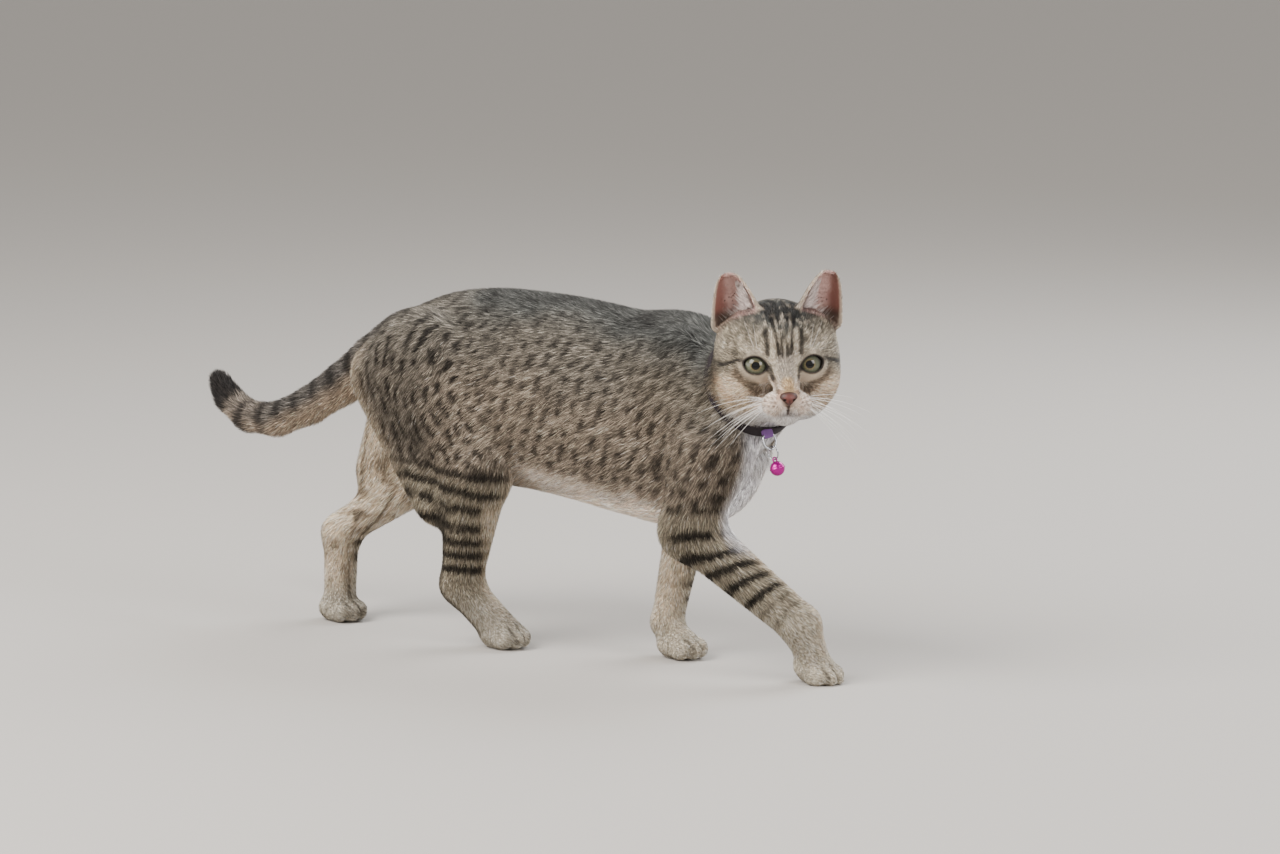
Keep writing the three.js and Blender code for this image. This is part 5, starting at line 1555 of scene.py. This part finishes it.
# Half width, half height and wire radius of each ring, and how far below the top its middle hangs.
D_RING, D_RING_DROP = (5.1, 5.9, 0.8), 5.7
SPLIT_RING, SPLIT_RING_DROP = (4.6, 4.6, 0.5), 14.3
BELL_LOOP, BELL_LOOP_DROP = (1.7, 1.7, 0.5), 19.1
BELL_R, BELL_DROP = 5.15, 25.35
PELLET_R, PELLET_BELOW = 1.3, 1.9
KEEPER_HALF = (3.8, 3.5, 2.2)
hang_side = HANG_ASIDE * math.cos(swing_angle) + np.cross(HANG_OUT, HANG_ASIDE) * math.sin(swing_angle)
hang_up = np.cross(HANG_OUT, hang_side)


def hung(drop, out=0.0):
    """A place below the top of the hanging parts, and out from the throat."""
    return HANG_TOP - hang_up * drop + HANG_OUT * out


def ring_axes(degrees):
    """Rows across, up and through a ring that is turned about its hanging line."""
    a = math.radians(degrees)
    faces_way = HANG_OUT * math.cos(a) + hang_side * math.sin(a)
    return np.array([np.cross(hang_up, faces_way), hang_up, faces_way])


def ring_mesh(wide, high, wire, at, axes, steps=72, sides=14):
    """An oval ring: centre line (wide cos, high sin), wire round it."""
    u, v = np.meshgrid(turns(steps), turns(sides), indexing="ij")
    out = wire * np.cos(v)
    local = np.stack([np.cos(u) * (wide + out), np.sin(u) * (high + out), wire * np.sin(v)], -1)
    i, j = np.meshgrid(np.arange(steps), np.arange(sides), indexing="ij")
    a, b = (i + 1) % steps, (j + 1) % sides
    faces = np.stack([i * sides + j, a * sides + j, a * sides + b, i * sides + b], -1).reshape(-1, 4)
    return at + local.reshape(-1, 3) @ axes, faces


STEEL = material("Polished steel", 0.16, Base_Color=(0.36, 0.37, 0.39, 1), Metallic=1.0)
d_axes = ring_axes(30)
d_ring = ring_mesh(*D_RING, hung(D_RING_DROP), d_axes)
finished(mesh_object("d_ring_wire", *d_ring, STEEL), ["d_ring"])
split = ring_mesh(*SPLIT_RING, hung(SPLIT_RING_DROP), ring_axes(-45))
finished(mesh_object("split_ring_wire", *split, STEEL), ["split_ring"])


def pillow(at, axes, half, power=0.4, n=28):
    """A soft block: a ball whose sines and cosines are raised to a power, stretched to the half sizes."""
    a, b = np.meshgrid(np.linspace(-np.pi / 2, np.pi / 2, n)[1:-1], turns(2 * n), indexing="ij")
    a, b = np.concatenate([[-np.pi / 2], a.ravel(), [np.pi / 2]]), np.concatenate([[0], b.ravel(), [0]])
    level = squared(np.cos(a), power)
    local = np.stack([
        level * squared(np.cos(b), power),
        level * squared(np.sin(b), power),
        squared(np.sin(a), power),
    ], -1) * np.array(half)
    return at + local @ axes, round_grid(n - 2, 2 * n)[:, ::-1]


KEEPER = material("Keeper cloth", 0.6, Base_Color=(*srgb(110, 70, 132), 1), Specular_IOR_Level=0.4)
roughened(KEEPER, 1900, 0.0004)
keeper = pillow(hung(0.2, -0.6), d_axes, KEEPER_HALF)
finished(mesh_object("keeper_fold", *keeper, KEEPER), ["keeper"])

BELL_AT = hung(BELL_DROP)


def ball_mesh(r, at, axes, rings=40, around=60):
    """A ball with its poles up and down; a large one has a raised seam round its middle."""
    polar = np.linspace(0, np.pi, rings + 2)[1:-1]
    a, b = np.meshgrid(polar, turns(around), indexing="ij")
    a, b = np.concatenate([[0], a.ravel(), [np.pi]]), np.concatenate([[0], b.ravel(), [0]])
    seam = 0.45 * np.exp(-((np.cos(a)) / 0.08) ** 2) if r > 3 else 0 * a
    local = np.stack([np.sin(a) * np.cos(b), np.cos(a), np.sin(a) * np.sin(b)], -1) * (r + seam)[:, None]
    return at + local @ axes, round_grid(rings, around)[:, ::-1]


ENAMEL = material(
    "Magenta bell enamel", 0.26, Base_Color=(*srgb(160, 0, 124), 1), Metallic=0.6,
    Coat_Weight=0.1, Coat_Roughness=0.08,
)
shell = ball_mesh(BELL_R, BELL_AT, d_axes)
loop = ring_mesh(*BELL_LOOP, hung(BELL_LOOP_DROP), ring_axes(40), 48, 10)
loop = (loop[0], np.concatenate([loop[1][:, [0, 1, 2]], loop[1][:, [0, 2, 3]]]))
finished(mesh_object("bell_shell", *joined([shell, loop]), ENAMEL), ["bell"])
pellet = ball_mesh(PELLET_R, BELL_AT - hang_up * PELLET_BELOW, d_axes, 16, 24)
finished(mesh_object("bell_pellet_ball", *pellet, STEEL), ["bell_pellet"])


# ---------------------------------------------------------------- floor, light and camera


def floor_piece(radius=60.0, corners=128):
    """A wide round floor, level with the soles."""
    mesh = bpy.data.meshes.new("floor")
    turn = turns(corners)
    rim = np.stack([np.cos(turn), np.sin(turn), 0 * turn], -1) * radius
    mesh.from_pydata(rim.tolist(), [], [list(range(corners))])
    pale = material("Pale floor", 0.85, Base_Color=(0.42, 0.40, 0.378, 1), Specular_IOR_Level=0.2)
    mesh.materials.append(pale)
    obj = bpy.data.objects.new("floor", mesh)
    bpy.context.scene.collection.objects.link(obj)
    return obj


floor_piece()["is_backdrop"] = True


LIT_MIDDLE = (0, 0, 0.17)  # metres


def soft_light(name, place, size, power, colour):
    """A square lamp that looks at the middle of the cat."""
    data = bpy.data.lights.new(name, "AREA")
    data.size = size
    data.energy = power
    data.color = colour
    obj = bpy.data.objects.new(name, data)
    from_to = np.array(LIT_MIDDLE) - np.array(place)
    obj.location = place
    obj.rotation_euler = Vector(from_to).to_track_quat("-Z", "Y").to_euler()
    bpy.context.scene.collection.objects.link(obj)


soft_light("Key light", (-0.6, -1.7, 1.9), 1.6, 118, (1.0, 0.97, 0.93))
soft_light("Fill light", (2.4, -0.3, 1.3), 1.3, 54, (1.0, 0.98, 0.97))
soft_light("Back light", (0.4, 1.6, 1.6), 1.4, 46, (0.96, 0.98, 1.0))
soft_light("Low light", (-1.4, -1.8, 0.45), 1.2, 20, (1.0, 0.94, 0.86))

world = bpy.data.worlds.new("Plain studio")
world.use_nodes = True
world.node_tree.nodes["Background"].inputs["Color"].default_value = (0.93, 0.90, 0.86, 1)
world.node_tree.nodes["Background"].inputs["Strength"].default_value = 0.86
bpy.context.scene.world = world

CAMERA_AZ, CAMERA_EL, CAMERA_FAR, CAMERA_LENS = 33.0, 8.0, 3.5, 139.8  # degrees, metres, lens in mm
LOOKED_AT = (0, 0, 166)
az, el = math.radians(CAMERA_AZ), math.radians(CAMERA_EL)
target = metres(LOOKED_AT)
toward = np.array([math.sin(az) * math.cos(el), -math.cos(az) * math.cos(el), math.sin(el)])
camera_data = bpy.data.cameras.new("Camera")
camera_data.lens = CAMERA_LENS
camera_data.sensor_width = 36
camera_data.clip_end = 50
camera = bpy.data.objects.new("Camera", camera_data)
camera.location = target + toward * CAMERA_FAR
camera.rotation_euler = Vector(-toward).to_track_quat("-Z", "Y").to_euler()
bpy.context.scene.collection.objects.link(camera)
bpy.context.scene.camera = camera


def plain(v):
    """Nested plain lists of numbers."""
    return [plain(x) for x in v] if hasattr(v, "__len__") else float(v)


plain(bounds_before)
plain(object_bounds())
